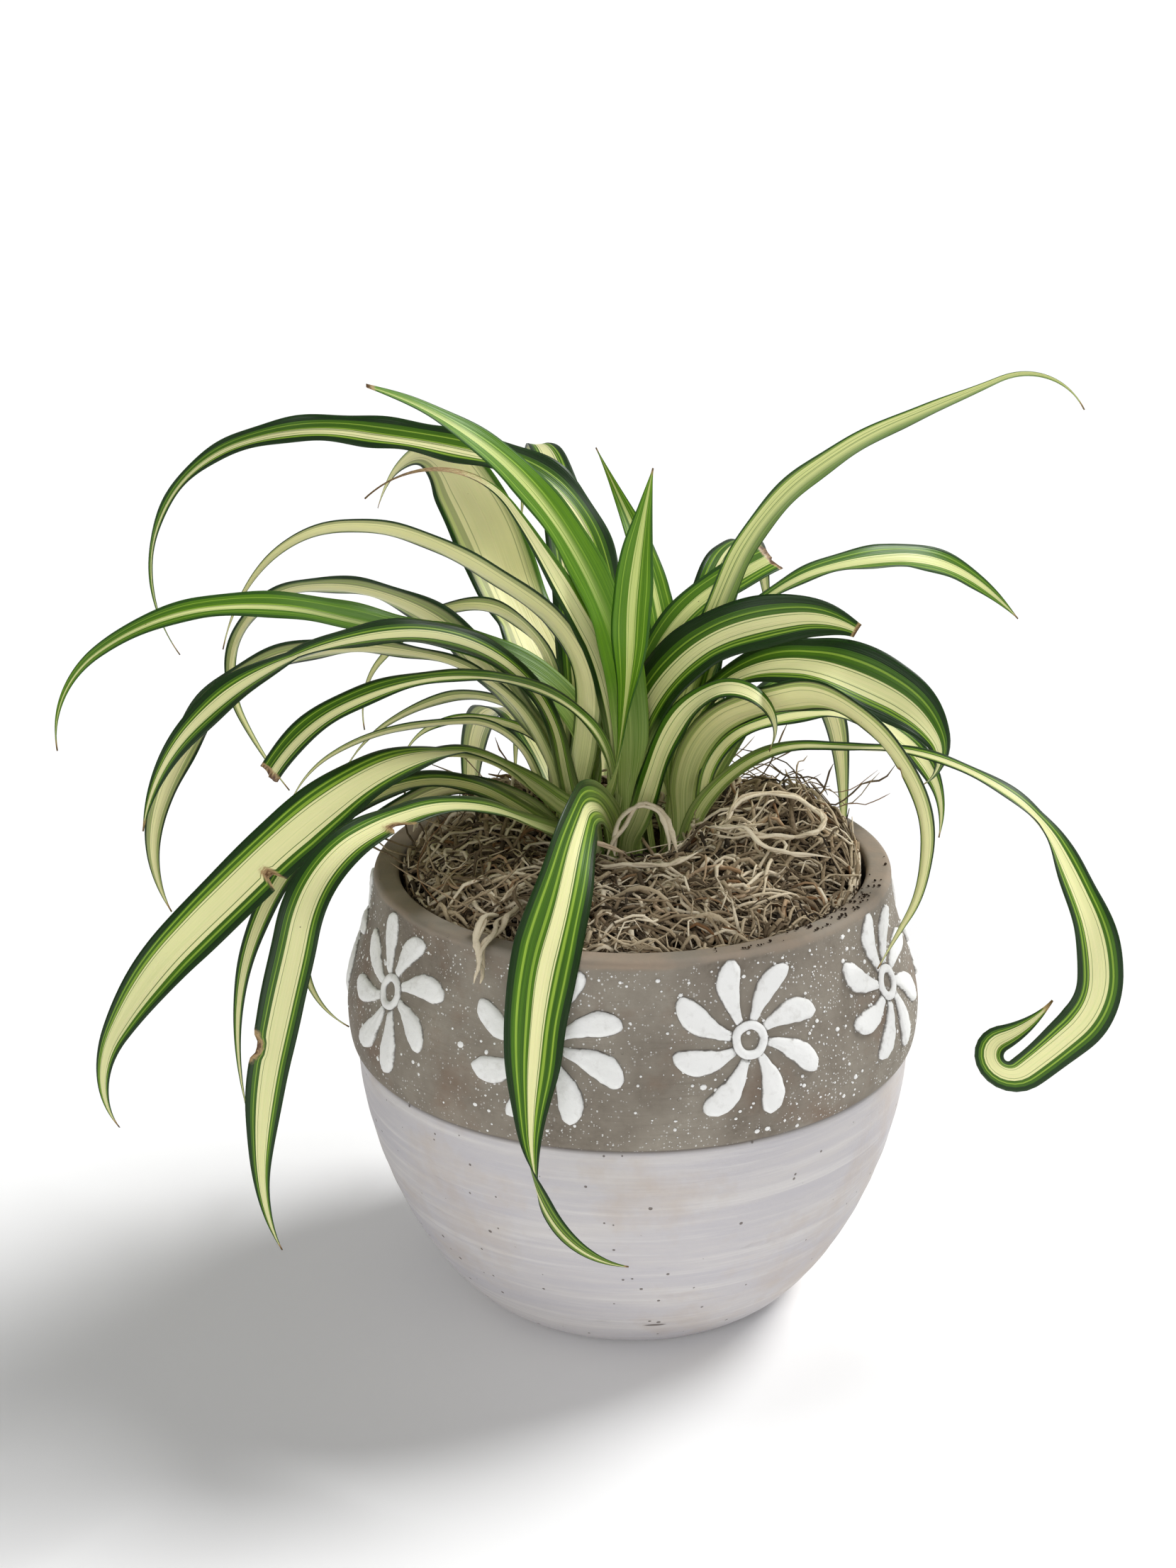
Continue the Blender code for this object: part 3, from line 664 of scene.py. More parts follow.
def leaf_material(leaf, look, seed):
    """Cream centre with thin green lines, streaked green bands and dark margins."""
    random = np.random.default_rng(seed + 500)
    skin = Skin("leaf_" + leaf.name + "_skin", 0.40, 0.28)
    across = skin.attribute("across")
    along = skin.attribute("along")
    share = skin.attribute("share")

    def lengthwise(fineness, stretch, detail):
        place_at = skin.vector(across * fineness, along * stretch, seed * 1.7)
        return skin.noise(place_at, 1.0, detail, 0.6)

    factor = ((lengthwise(0.6, 0.022, 1.0) - 0.5) * 0.30 + across) * 0.5 + 0.5
    stops = stripe_stops(look, random)
    plain = palette(GROWN, YOUNG, look.young)
    streaked = palette(GROWN_STREAK, YOUNG_STREAK, look.young)
    broad = lengthwise(9.0, 0.012, 2.0).scaled(0.40, 0.62)
    fine = lengthwise(1.7 * leaf.width, 0.016, 1.0).scaled(0.40, 0.62)
    streaks = fine * 0.40 + broad * 0.60
    ground, lines = (factor.ramp([(at, tones[name]) for at, name in stops]) for tones in (plain, streaked))
    colour = streaks.mix(ground, lines)
    greened = share.scaled(0.62, 0.30, 0.0, look.greened)
    colour = greened.mix(colour, streaks.mix(plain["mid"], streaked["mid"]))
    inside = abs(across).scaled(1.0 - 0.7 * look.margin, 1.0 - 1.1 * look.margin)
    washed = skin.attribute("upper") * (look.pale - look.under) + look.under
    colour = (washed * inside).mix(colour, UNDER_PALE)
    base = share.scaled(0.22, -0.02, 0.0, 0.80)
    colour = base.mix(colour, streaks.mix(BASE_PALE, BASE_STREAK))
    surface = skin.vector(across * (leaf.width / 2), along, seed * 7.0)
    specks = skin.dots(surface, 0.25, 1.0 - 0.22 * look.specks, 0.09)
    colour = (specks * 0.8).mix(colour, SPECK_BROWN)
    dry = skin.attribute("dry") * skin.noise(surface, 1.1, 3.0).scaled(0.30, 0.62, 0.55, 1.5)
    colour = dry.scaled(0.12, 0.45).mix(colour, DRY_TAN)
    colour = dry.scaled(0.45, 0.95).mix(colour, DRY_BROWN)
    skin.inputs["Subsurface Weight"].default_value = 0.10
    skin.inputs["Subsurface Scale"].default_value = 0.0012
    skin.inputs["Subsurface Radius"].default_value = (0.7, 1.0, 0.3)
    relief = fine * 0.6 + lengthwise(14.0, 0.01, 1.0)
    roughness = broad.scaled(0.0, 1.0, 0.34, 0.46)
    return skin.finish(Base_Color=colour, Roughness=roughness, Normal=skin.bumped(relief, 0.00010, 0.6))


def make_leaves():
    plain = Look()
    for number, leaf in enumerate(LEAVES):
        make_leaf(leaf, LOOKS.get(leaf.name, plain), number + 1)




# ---------------------------------------------------------------- pot

POT_SEGMENTS = 288
BOWL_ROWS = 64
BAND_ROWS = 44
WALL = 0.0070
FLOOR = 0.0090
STEP_RADIUS = BOWL_RADIUS + BAND_STEP
BAND_HEIGHT = POT_HEIGHT - WIDEST_HEIGHT
SWELL_HEIGHT = WIDEST_HEIGHT - JOINT_HEIGHT - BAND_STEP
LIP_HEIGHT = POT_HEIGHT - LIP_ROUND
JOINT_GROOVE = 0.0004
SLOPE_STEP = 0.0005
THROWING_RIDGE = 0.00012
DAISY_TURNS = tuple(math.radians(-90 + 23 + 40 * i) for i in range(9))
DAISY_HEIGHT = 0.1026
DAISY_RADIUS = 0.0208
DAISY_RELIEF = 0.0014
PETALS = 8
PETAL_NECK = 0.0012
PETAL_HALF_WIDTH = 0.0038
PETAL_SWIRL = 0.0054
PETAL_FULLEST = 0.72
PETAL_ROUGHNESS = 0.09
PAINT_DEPTH = 0.0004
RING_RADIUS = 0.0037
RING_HALF_WIDTH = 0.0012
SPLATTER_DOTS = 3100
DOT_RADIUS = 0.00013
DOT_RELIEF = 0.00022
BIG_DOT = 0.00045
BIG_DOT_SHARE = 0.008


def bowl_point(share):
    """Point on the bowl's outside: share 0 is the foot's edge, 1 the joint with the band."""
    angle = share * math.pi / 2
    radius = FOOT_RADIUS + (BOWL_RADIUS - FOOT_RADIUS) * math.sin(angle) ** 1.41
    return radius, JOINT_HEIGHT * (1 - math.cos(angle) ** 1.13)


def band_radius(height):
    """The band's outside at a height: it swells out from its step, then draws in to the rim."""
    share = np.clip((height - WIDEST_HEIGHT) / BAND_HEIGHT, 0, 1)
    drawn_in = WIDEST_RADIUS + (RIM_RADIUS - WIDEST_RADIUS) * np.sin(share * math.pi / 2) ** 1.6
    below = np.clip((WIDEST_HEIGHT - height) / SWELL_HEIGHT, 0, 1)
    swelling = STEP_RADIUS + (WIDEST_RADIUS - STEP_RADIUS) * np.sqrt(1 - below ** 2)
    return np.where(height < WIDEST_HEIGHT, swelling, drawn_in)


def arc(centre_radius, start, end):
    """Points of a rounded corner of the lip, in degrees, as (radius, height)."""
    turns = np.radians(np.linspace(start, end, 6))
    return [(centre_radius + LIP_ROUND * math.cos(t), LIP_HEIGHT + LIP_ROUND * math.sin(t)) for t in turns]


def pot_profile():
    """The pot's section from its inner wall over the lip and down to the foot's centre."""
    bowl = [bowl_point(share) for share in np.linspace(0.30, 0.95, 9)]
    profile = [(0.0, FLOOR)] + [(radius - WALL, max(height, FLOOR)) for radius, height in bowl]
    heights = WIDEST_HEIGHT + BAND_HEIGHT * np.linspace(0.0, 0.7, 8)
    profile += [(band_radius(height) - WALL, height) for height in heights]
    profile += arc(RIM_INNER_RADIUS + LIP_ROUND, 180, 90) + arc(RIM_RADIUS - LIP_ROUND, 90, 10)
    heights = WIDEST_HEIGHT + BAND_HEIGHT * np.linspace(0.97, 0.0, BAND_ROWS)
    profile += [(band_radius(height), min(height, LIP_HEIGHT)) for height in heights]
    heights = WIDEST_HEIGHT - SWELL_HEIGHT * np.sin(np.linspace(0.2, 1.0, 9) * math.pi / 2)
    profile += [(band_radius(height), height) for height in heights]
    profile.append((BOWL_RADIUS + JOINT_GROOVE, JOINT_HEIGHT + JOINT_GROOVE))
    profile.append((BOWL_RADIUS - JOINT_GROOVE, JOINT_HEIGHT))
    profile += [bowl_point(share) for share in np.linspace(0.985, 0.02, BOWL_ROWS)]
    profile += [(FOOT_RADIUS * 0.99, 0.0), (FOOT_RADIUS * 0.9, 0.0), (0.0, 0.0)]
    return np.array(profile)


def make_pot():
    """The thrown shell: a turned surface with faint throwing ridges on the bowl."""
    profile = pot_profile()
    turns = circle(POT_SEGMENTS)
    random = np.random.default_rng(11)
    ridge = softened(random.uniform(-1, 1, len(profile)), 1) * THROWING_RIDGE
    outside = (profile[:, 1] > 0.002) & (profile[:, 1] < JOINT_HEIGHT - 0.001)
    wobble = 0.0012 * np.sin(turns * 2 + 0.7) + 0.0008 * np.sin(turns * 3 + 2.0)
    fade = np.clip(profile[:, 1] / 0.02, 0, 1)[:, None]
    radius = (profile[:, 0] + np.where(outside, ridge, 0))[:, None] * (1 + wobble * fade)
    points = stacked(radius * np.cos(turns), radius * np.sin(turns), profile[:, 1:])
    place(ring_piece("pot_shell", points, pot_material(), "open", merged=True), "pot_ceramic", "pot")


def on_band(turn, height, sideways, upward, relief):
    """Points drawn flat round a spot on the band (metres right and up), raised by relief."""
    at_height = height + upward * 0.96
    radius = band_radius(at_height)
    at_turn = turn + sideways / radius
    slope = (band_radius(at_height + SLOPE_STEP) - radius) / SLOPE_STEP
    tilt = np.arctan(-np.where(at_height < WIDEST_HEIGHT, 0.0, slope))
    out = radius + np.cos(tilt) * relief
    return stacked(out * np.cos(at_turn), out * np.sin(at_turn), at_height + np.sin(tilt) * relief)


def petal_rings(turn, height, start, random):
    """A swirling teardrop: narrow at the ring, round and fullest near its outer end."""
    along = np.linspace(0, 1, 21)[:, None]
    across = np.linspace(-1, 1, 13)
    inner = RING_RADIUS + RING_HALF_WIDTH * 0.7
    reach = inner + (DAISY_RADIUS * random.uniform(0.94, 1.04) - inner) * along
    half = PETAL_NECK + (PETAL_HALF_WIDTH - PETAL_NECK) * eased(0.0, PETAL_FULLEST, along)
    rounding = np.sqrt(np.clip(1 - ((along - PETAL_FULLEST).clip(0, 1) / (1 - PETAL_FULLEST)) ** 2, 0, 1))
    half = half * rounding * random.uniform(0.92, 1.06)
    right, left = (softened(random.uniform(-1, 1, len(along)), 1)[:, None] for _ in range(2))
    rough = 1 + PETAL_ROUGHNESS * (right * (across > 0) + left * (across < 0))
    sideways = half * across * rough - PETAL_SWIRL * along ** 1.6
    x = reach * math.cos(start) - sideways * math.sin(start)
    y = reach * math.sin(start) + sideways * math.cos(start)
    crown = np.sqrt(1 - across ** 4)
    ends = np.clip(along / 0.08, 0, 1) * np.sqrt(rounding)
    relief = DAISY_RELIEF * (0.6 + 0.4 * along) * crown * ends
    relief += 0.00010 * random.uniform(-1, 1, relief.shape) * (relief > 0.0004)
    top = on_band(turn, height, x, y, relief)
    base = on_band(turn, height, x, y, -PAINT_DEPTH)
    return closed_sheet(top, base), closed_sheet(relief, 0 * relief)


def ring_rings(turn, height, random):
    """The raised ring at a daisy's centre."""
    turns = circle(40)[:, None]
    section = circle(10)
    wander = 1 + 0.05 * softened(random.uniform(-1, 1, 40), 2)[:, None]
    radius = RING_RADIUS * wander + RING_HALF_WIDTH * np.cos(section)
    relief = np.broadcast_to(0.0002 + 0.0009 * np.sin(section), radius.shape)
    return on_band(turn, height, radius * np.cos(turns), radius * np.sin(turns), relief), relief


def make_daisies():
    """Raised, white-painted swirl daisies, evenly spaced round the band."""
    random = np.random.default_rng(21)
    daisies = Tubes()
    for turn in DAISY_TURNS:
        height = DAISY_HEIGHT + random.uniform(-0.0008, 0.0008)
        first = random.uniform(0, 2 * math.pi / PETALS)
        for i in range(PETALS):
            start = first + 2 * math.pi * i / PETALS + random.uniform(-0.06, 0.06)
            rings, relief = petal_rings(turn, height, start, random)
            # Each point keeps how low it lies in the relief, for the painted shade and dirt at the paint's
            # edges.
            daisies.add(rings, 1 - relief / DAISY_RELIEF)
        rings, relief = ring_rings(turn, height, random)
        daisies.add(rings, 1 - relief.clip(0) / DAISY_RELIEF, "loop")
    place(daisies.piece("pot_daisies", paint_material("daisy_paint"), "edge_dirt_and_shade", merged=True), "pot_ceramic")


def make_splatter():
    """White paint droplets flicked over the band: small flat domes."""
    random = np.random.default_rng(31)
    reach, rise = np.array([(1.0, -0.35), (0.8, 0.6), (0.0, 1.0)]).T[..., None]
    turns = circle(7)
    beads = Tubes()
    placed = 0
    while placed < SPLATTER_DOTS:
        turn = random.uniform(-math.pi, math.pi)
        height = random.uniform(JOINT_HEIGHT + 0.002, POT_HEIGHT - 0.003)
        waves = (0.5 + 0.5 * math.sin(turn * 2 + 1.9)) * (0.6 + 0.4 * math.sin(turn * 5 + height * 90))
        if random.uniform() > 0.35 + 0.65 * waves:
            continue
        placed += 1
        size = DOT_RADIUS * (0.7 + random.exponential())
        size += BIG_DOT * (random.uniform() < BIG_DOT_SHARE)
        sideways = reach * np.cos(turns) * size * random.uniform(0.85, 1.25)
        relief = rise * min(size * 0.45, DOT_RELIEF)
        beads.add(on_band(turn, height, sideways, reach * np.sin(turns) * size, relief), 0.0, "first")
    place(beads.piece("pot_splatter", paint_material("splatter_paint"), merged=True), "pot_ceramic")


TAUPE = rgb(137, 129, 117)
TAUPE_DARK = rgb(112, 103, 92)
TAUPE_LIGHT = rgb(155, 148, 136)
CLAY_SHADOW = rgb(84, 76, 66)
RUST = rgb(120, 92, 72)
LIP_TAN = rgb(154, 138, 121)
WASH = rgb(204, 200, 199)
WASH_COOL = rgb(193, 190, 194)
WASH_LIGHT = rgb(217, 214, 212)
WASH_WARM = rgb(190, 176, 163)
WHITE_PAINT = rgb(240, 240, 238)
PIT_BROWN = rgb(96, 86, 78)
JOINT_BROWN = rgb(92, 84, 75)
LIP_EDGE = 0.1222
MARK_PLACE = (0.006, 0.013)
MARK_SIZE = (0.0028, 0.0005)


def band_colour(skin, here, height):
    """Matte taupe clay with brown patches, fine scratches, a mist of white and a tan lip."""
    colour = skin.patches(here, 38.0, 0.35, 0.65).mix(TAUPE_DARK, TAUPE_LIGHT)
    colour = skin.patches(here, 900.0, 0.3, 0.7, 0.6, 3.0).mix(colour, TAUPE)
    colour = skin.patches(here, 30.0, 0.54, 0.70, 0.55, 5.0).mix(colour, RUST)
    brushed = skin.stretched(here, 60.0, 900.0)
    colour = skin.patches(brushed, 1.0, 0.56, 0.74, 0.35).mix(colour, TAUPE_DARK)
    mist = skin.dots(here, 1500.0, 0.62, 0.46) * skin.patches(here, 45.0, 0.38, 0.60)
    colour = (mist * 0.75).mix(colour, WHITE_PAINT)
    edge = (skin.noise(here, 38.0, 4.0, 0.6) - 0.5) * 0.004 + height
    lip = skin.patches(here, 60.0, 0.35, 0.65).mix(LIP_TAN, TAUPE)
    return edge.scaled(LIP_EDGE, LIP_EDGE + 0.0010).mix(colour, lip)


def bowl_colour(skin, here, height, brush, pits):
    """Whitewash in horizontal brush strokes, stained warm in places, with dark pits and one mark."""
    broad = skin.stretched(here, 16.0, 100.0)
    colour = skin.patches(broad, 1.0, 0.38, 0.62).mix(WASH, WASH_COOL)
    colour = brush.scaled(0.50, 0.72, 0.0, 0.8).mix(colour, WASH_LIGHT)
    colour = brush.scaled(0.48, 0.30, 0.0, 0.7).mix(colour, WASH_COOL)
    colour = skin.patches(here, 26.0, 0.52, 0.70, 0.60, 5.0).mix(colour, WASH_WARM)
    colour = skin.patches(broad, 2.7, 0.66, 0.80, 0.28).mix(colour, PIT_BROWN)
    colour = (pits * 0.8).mix(colour, PIT_BROWN)
    beside = (height.output("X") - MARK_PLACE[0]) * (1 / MARK_SIZE[0])
    above = (height - MARK_PLACE[1]) * (1 / MARK_SIZE[1])
    mark = (beside * beside + above * above).scaled(1.4, 0.6, 0.0, 0.85)
    front = height.output("Y").calc("LESS_THAN")
    return (mark * front).mix(colour, PIT_BROWN)


def pot_material():
    """Taupe band over a whitewashed bowl, with a dark line where they join."""
    skin = Skin("pot_skin", 0.8, 0.3)
    here = skin.here()
    height = skin.node("ShaderNodeSeparateXYZ", {0: here}, "Z")
    brush = skin.noise(skin.stretched(here, 13.0, 430.0), 1.0, 4.0, 0.7)
    pits = skin.dots(here, 430.0, 0.86, 0.26)
    wander = skin.noise(here, 70.0, 3.0)
    edge = (wander - 0.5) * 0.0012 + height
    is_band = edge.scaled(JOINT_HEIGHT - 0.0002, JOINT_HEIGHT + 0.0003)
    colour = is_band.mix(bowl_colour(skin, here, height, brush, pits), band_colour(skin, here, height))
    near_joint = abs(height - JOINT_HEIGHT).scaled(0.0011, 0.0002, 0.0, 0.75)
    relief = skin.noise(here, 900.0, 3.0, 0.6) * 0.35 + brush * 0.65 - pits
    return skin.finish(
        Base_Color=near_joint.mix(colour, JOINT_BROWN), Roughness=wander.scaled(0.3, 0.7, 0.72, 0.86),
        Normal=skin.bumped(relief, 0.0005, 0.6))


def paint_material(name):
    """Chalky white paint, thin in places, darkened towards brown where its relief is low: painted shade at
    the raised paint's edges, partly dirt.
    """
    skin = Skin(name, 0.8, 0.3)
    thin = skin.noise(skin.here(), 420.0, 3.0, 0.6)
    colour = thin.scaled(0.55, 0.80, 0.0, 0.30).mix(WHITE_PAINT, TAUPE_LIGHT)
    # Painted shade, partly dirt: brown where the raised paint's relief is low.
    edge_dirt_and_shade = (thin - 0.5) * 0.9 + skin.attribute("edge_dirt_and_shade")
    colour = edge_dirt_and_shade.scaled(0.60, 0.90, 0.0, 0.85).mix(colour, CLAY_SHADOW)
    return skin.finish(
        Base_Color=colour, Roughness=thin.scaled(0.3, 0.7, 0.66, 0.80), Normal=skin.bumped(thin, 0.0004, 0.7))




# ---------------------------------------------------------------- shoots, soil and moss

MOSS_EDGE = 0.0622
MOSS_RADII = (0.0, 0.030, 0.045, 0.056, 0.0631)
MOSS_HEIGHTS = (0.0110, 0.0150, 0.0150, 0.0125, 0.0070)
MOUNDS = (((0.042, 0.018), 0.0100, 0.016), ((-0.036, 0.032), 0.0070, 0.012))
CROWN_CENTRE = (0.0, 0.014)
CROWN_RADIUS = 0.0175
STRAND_STEP = 0.0025
STRAND_SIDES = 5
STRAND_COUNTS = {"front": 740, "right": 560, "back": 320, "left": 520}
STRAND_TURNS = {"front": -90, "right": 0, "back": 90, "left": 180}
LOOSE_STRANDS = 70
LOOSE_TURNS = (20, 60, 130, 165, -160)
STUB_SLIMNESS = 0.75
STUB_DEPTH = 0.005
CROWN_CRUMBS = 110
LIP_CRUMBS = 120
STRAND_TONES = (
    (0.0, rgb(44, 36, 27)), (0.25, rgb(92, 78, 60)), (0.48, rgb(148, 130, 104)),
    (0.70, rgb(186, 170, 142)), (0.95, rgb(226, 213, 188)))
RUSTY = rgb(150, 104, 62)
BED_TONES = ((0.3, rgb(30, 23, 17)), (0.55, rgb(58, 45, 33)), (0.75, rgb(96, 78, 58)))
SOIL_TONES = ((0.3, rgb(24, 18, 13)), (0.55, rgb(52, 39, 28)), (0.8, rgb(88, 68, 50)))
SHOOT_GREEN = rgb(150, 176, 96)
SHOOT_PALE = rgb(208, 216, 160)


def moss_top(x, y):
    """Height of the mat's upper surface."""
    top = SOIL_TOP + np.interp(np.hypot(x, y), MOSS_RADII, MOSS_HEIGHTS)
    for centre, height, reach in MOUNDS:
        away = np.hypot(x - centre[0], y - centre[1])
        top = top + height * np.exp(-0.5 * (away / reach) ** 2)
    crown = np.hypot(x - CROWN_CENTRE[0], y - CROWN_CENTRE[1])
    return top - 0.008 * np.clip(1 - crown / (CROWN_RADIUS * 1.3), 0, 1)


def strand_path(random, turn, radius_out, length, depth, curl, loose):
    """One curly strand wandering over the mat: a list of points."""
    count = max(5, round(length / STRAND_STEP))
    x = radius_out * math.cos(turn)
    y = radius_out * math.sin(turn)
    heading = turn + math.pi / 2 * random.choice((-1, 1)) + random.normal(0, 0.55)
    bend = softened(random.normal(0, curl, count), 2)
    bend += random.normal(0, curl * 0.40)
    headings = heading + np.cumsum(bend * STRAND_STEP)
    px = x + np.cumsum(np.cos(headings)) * STRAND_STEP
    py = y + np.cumsum(np.sin(headings)) * STRAND_STEP
    away = np.hypot(px, py)
    if not loose:
        pull = np.minimum(1, (MOSS_EDGE - 0.0015 * random.uniform()) / away)
        px, py = px * pull, py * pull
    cx, cy = px - CROWN_CENTRE[0], py - CROWN_CENTRE[1]
    push = np.maximum(1, CROWN_RADIUS / np.maximum(np.hypot(cx, cy), 0.001))
    px, py = CROWN_CENTRE[0] + cx * push, CROWN_CENTRE[1] + cy * push
    wave = softened(random.normal(0, 0.0034, count), 2)
    pz = moss_top(np.clip(px, -0.06, 0.06), np.clip(py, -0.06, 0.06)) - depth + wave
    if loose:
        along = np.linspace(0, 1, count)
        pz = np.maximum(pz, POT_HEIGHT + 0.001) + random.uniform(0.002, 0.014) * along ** 1.5
    return stacked(px, py, pz)


def tube(path, radii, flat):
    """Rings of a thin tube along a path, slightly flattened."""
    tangent = np.gradient(path, axis=0)
    tangent /= np.maximum(np.linalg.norm(tangent, axis=1, keepdims=True), 1e-9)
    side = np.cross(tangent, (0.0, 0.0, 1.0))
    side /= np.maximum(np.linalg.norm(side, axis=1, keepdims=True), 1e-6)
    up = np.cross(tangent, side)
    turns = circle(STRAND_SIDES)[:, None]
    out = side[:, None] * np.cos(turns) + up[:, None] * flat * np.sin(turns)
    return path[:, None] + out * radii[:, None, None]


def add_strand(strands, path, radius, flat, tone, random):
    """Adds a strand that tapers at both ends and varies a little in thickness."""
    share = np.linspace(0, 1, len(path))
    radii = radius * (0.25 + 0.75 * np.clip(np.minimum(share, 1 - share) / 0.12, 0, 1))
    radii = radii * (1 + 0.14 * random.normal(0, 1, len(path)).clip(-1.5, 1.5))
    strands.add(tube(path, radii, flat), tone)


def finish_strands(strands, name, material):
    place(strands.piece(name, material, "tone"), "dry_moss")


def strand_tone_and_depth_shade(random, depth):
    """0 to 1 from dark brown to cream; deeper strands are darker, as painted shade for strands lying under
    others.
    """
    return float(np.clip(random.normal(0.60, 0.27) - depth * 75, 0.0, 1.0))


def make_moss_strands():
    material = moss_material("moss_strand_skin")
    for number, (side, count) in enumerate(STRAND_COUNTS.items()):
        random = np.random.default_rng(40 + number)
        strands = Tubes()
        for _ in range(count):
            turn = math.radians(STRAND_TURNS[side] + random.uniform(-45, 45))
            start = MOSS_EDGE * math.sqrt(random.uniform(0.06, 1.0))
            depth = random.uniform(-0.0005, 0.0065)
            coarse = random.uniform() < 0.6
            radius = random.uniform(0.00040, 0.00072) if coarse else random.uniform(0.00020, 0.00036)
            length = random.uniform(0.025, 0.070)
            curl = random.choice((110, 200, 330))
            path = strand_path(random, turn, start, length, depth, curl, False)
            add_strand(strands, path, radius, random.uniform(0.6, 1.0), strand_tone_and_depth_shade(random, depth), random)
        finish_strands(strands, "moss_strands_" + side, material)


def make_loose_strands():
    """Fine strands that spring up from the mat and reach over the rim."""
    random = np.random.default_rng(50)
    strands = Tubes()
    for _ in range(LOOSE_STRANDS):
        turn = math.radians(random.choice(LOOSE_TURNS) + random.normal(0, 22))
        away = random.uniform(0.045, 0.062)
        path = strand_path(random, turn, away, random.uniform(0.015, 0.035), -0.002, 90, True)
        add_strand(strands, path, random.uniform(0.00016, 0.00034), 0.9, random.uniform(0.2, 0.6), random)
    finish_strands(strands, "moss_loose_strands", moss_material("moss_loose_skin"))


# Broad pale strands that lie on top: points in millimetres right of, behind and above the soil's centre.
PALE_STRANDS = (
    ((-26, -40, 13), (-31, -49, 15), (-34.5, -58.5, 14), (-37.5, -63.5, 11.5), (-37, -65, 6)),
    ((-34, -44, 12), (-37.5, -53.5, 15), (-39.5, -61, 13), (-37.5, -64, 8.5), (-39, -65.5, 3)),
    ((22, -6, 20), (32, -13, 23), (45, -14, 22), (53, -5, 21), (50, 4, 25), (41, 8, 28), (30, 4, 27),
     (24, -3, 23)),
    ((20, -2, 21), (28, -10, 23), (38, -20, 21), (50, -20, 19)),
    ((-8, -20, 16), (0, -27, 19), (10, -26, 19), (18, -20, 19)),
    ((-6, -12, 17), (-2, -6, 26), (4, -4, 29), (10, -8, 24), (11, -15, 18)),
    ((-20, -8, 16), (-16, -16, 22), (-8, -19, 23), (-2, -15, 18)),
    ((-40, 30, 18), (-50, 30, 23), (-58, 20, 21), (-60, 8, 16)),
)


def smooth_path(points, step):
    """A path through the points with rounded corners, at even steps."""
    for _ in range(3):
        middle = np.stack((0.75 * points[:-1] + 0.25 * points[1:], 0.25 * points[:-1] + 0.75 * points[1:]), 1)
        points = np.vstack((points[:1], middle.reshape(-1, 3), points[-1:]))
    lengths = np.r_[0, np.cumsum(np.linalg.norm(np.diff(points, axis=0), axis=1))]
    at = np.linspace(0, lengths[-1], max(5, round(lengths[-1] / step)))
    return np.stack([np.interp(at, lengths, points[:, axis]) for axis in range(3)], -1)


def make_pale_strands():
    random = np.random.default_rng(55)
    strands = Tubes()
    for points in PALE_STRANDS:
        path = smooth_path(np.array(points) / 1000, 0.0018) + (0.0, 0.0, SOIL_TOP)
        for _ in range(2):
            wander = np.stack([softened(random.normal(0, 0.0011, len(path)), 2) for _ in range(3)], -1)
            radius = random.uniform(0.0006, 0.0009)
            add_strand(strands, path + wander, radius, 0.6, random.uniform(0.80, 1.0), random)
    finish_strands(strands, "moss_pale_strands", moss_material("moss_pale_skin"))


def make_moss_bed():
    """The dark matted layer that the strands lie on."""
    random = np.random.default_rng(60)
    rings, around = 34, 110
    radius = np.linspace(0.0004, MOSS_EDGE, rings)[:, None]
    x = radius * np.cos(circle(around))
    y = radius * np.sin(circle(around))
    top = moss_top(x, y) - 0.0058 + random.normal(0, 0.0011, (rings, around))
    upper = stacked(x, y, np.maximum(top, SOIL_TOP + 0.0010))
    lower = stacked(x, y, SOIL_TOP + 0.0003)[[-1, 0]]
    piece = ring_piece("moss_bed", np.concatenate((upper, lower)), moss_bed_material(), merged=True)
    place(piece, "dry_moss", "moss")


def moss_material(name):
    """Dry curly strands: grey-brown to cream, a few orange-brown, with a scaly skin."""
    skin = Skin(name, 0.9, 0.2)
    here = skin.here()
    # tone is each strand's own colour; on the mat's strands it is lowered with depth, as painted shade.
    tone = skin.attribute("tone")
    scaly = skin.noise(here, 1400.0, 3.0, 0.7)
    varied = (scaly - 0.5) * 0.35 + tone + (skin.noise(here, 160.0) - 0.5) * 0.25
    colour = varied.ramp(STRAND_TONES)
    chance = skin.node("ShaderNodeTexWhiteNoise", {"W": tone * 977.0}, noise_dimensions="1D")
    colour = chance.scaled(0.94, 0.95, 0.0, 0.5).mix(colour, RUSTY)
    return skin.finish(Base_Color=colour, Normal=skin.bumped(scaly, 0.0003, 0.7))


def grainy_material(name, specular, scale, detail, roughness, tones, relief):
    """A dark, crumbly surface in three tones."""
    skin = Skin(name, 0.95, specular)
    grain = skin.noise(skin.here(), scale, detail, roughness)
    return skin.finish(Base_Color=grain.ramp(tones), Normal=skin.bumped(grain, relief, 1.0))


def moss_bed_material():
    return grainy_material("moss_bed_skin", 0.15, 700.0, 4.0, 0.7, BED_TONES, 0.0008)


def soil_material():
    return grainy_material("soil_skin", 0.2, 420.0, 5.0, 0.75, SOIL_TONES, 0.0012)


def crumb_place(random):
    """Centre, lowest height and size of one crumb on the lip's right side."""
    turn = math.radians(random.normal(-38, 16))
    away = random.uniform(RIM_INNER_RADIUS - 0.0015, RIM_RADIUS - 0.0012)
    base = POT_HEIGHT + 0.0002 if away > RIM_INNER_RADIUS + 0.001 else POT_HEIGHT - 0.002
    return away * math.cos(turn), away * math.sin(turn), base, random.uniform(0.00015, 0.00045)


def crown_crumb_place(random):
    """Centre, lowest height and size of one crumb round the crown."""
    turn = random.uniform(0, 2 * math.pi)
    away = random.uniform(0.008, 0.020)
    x, y = CROWN_CENTRE[0] + away * math.cos(turn), CROWN_CENTRE[1] + away * math.sin(turn)
    return x, y, SOIL_TOP + 0.004, random.uniform(0.0005, 0.0016)


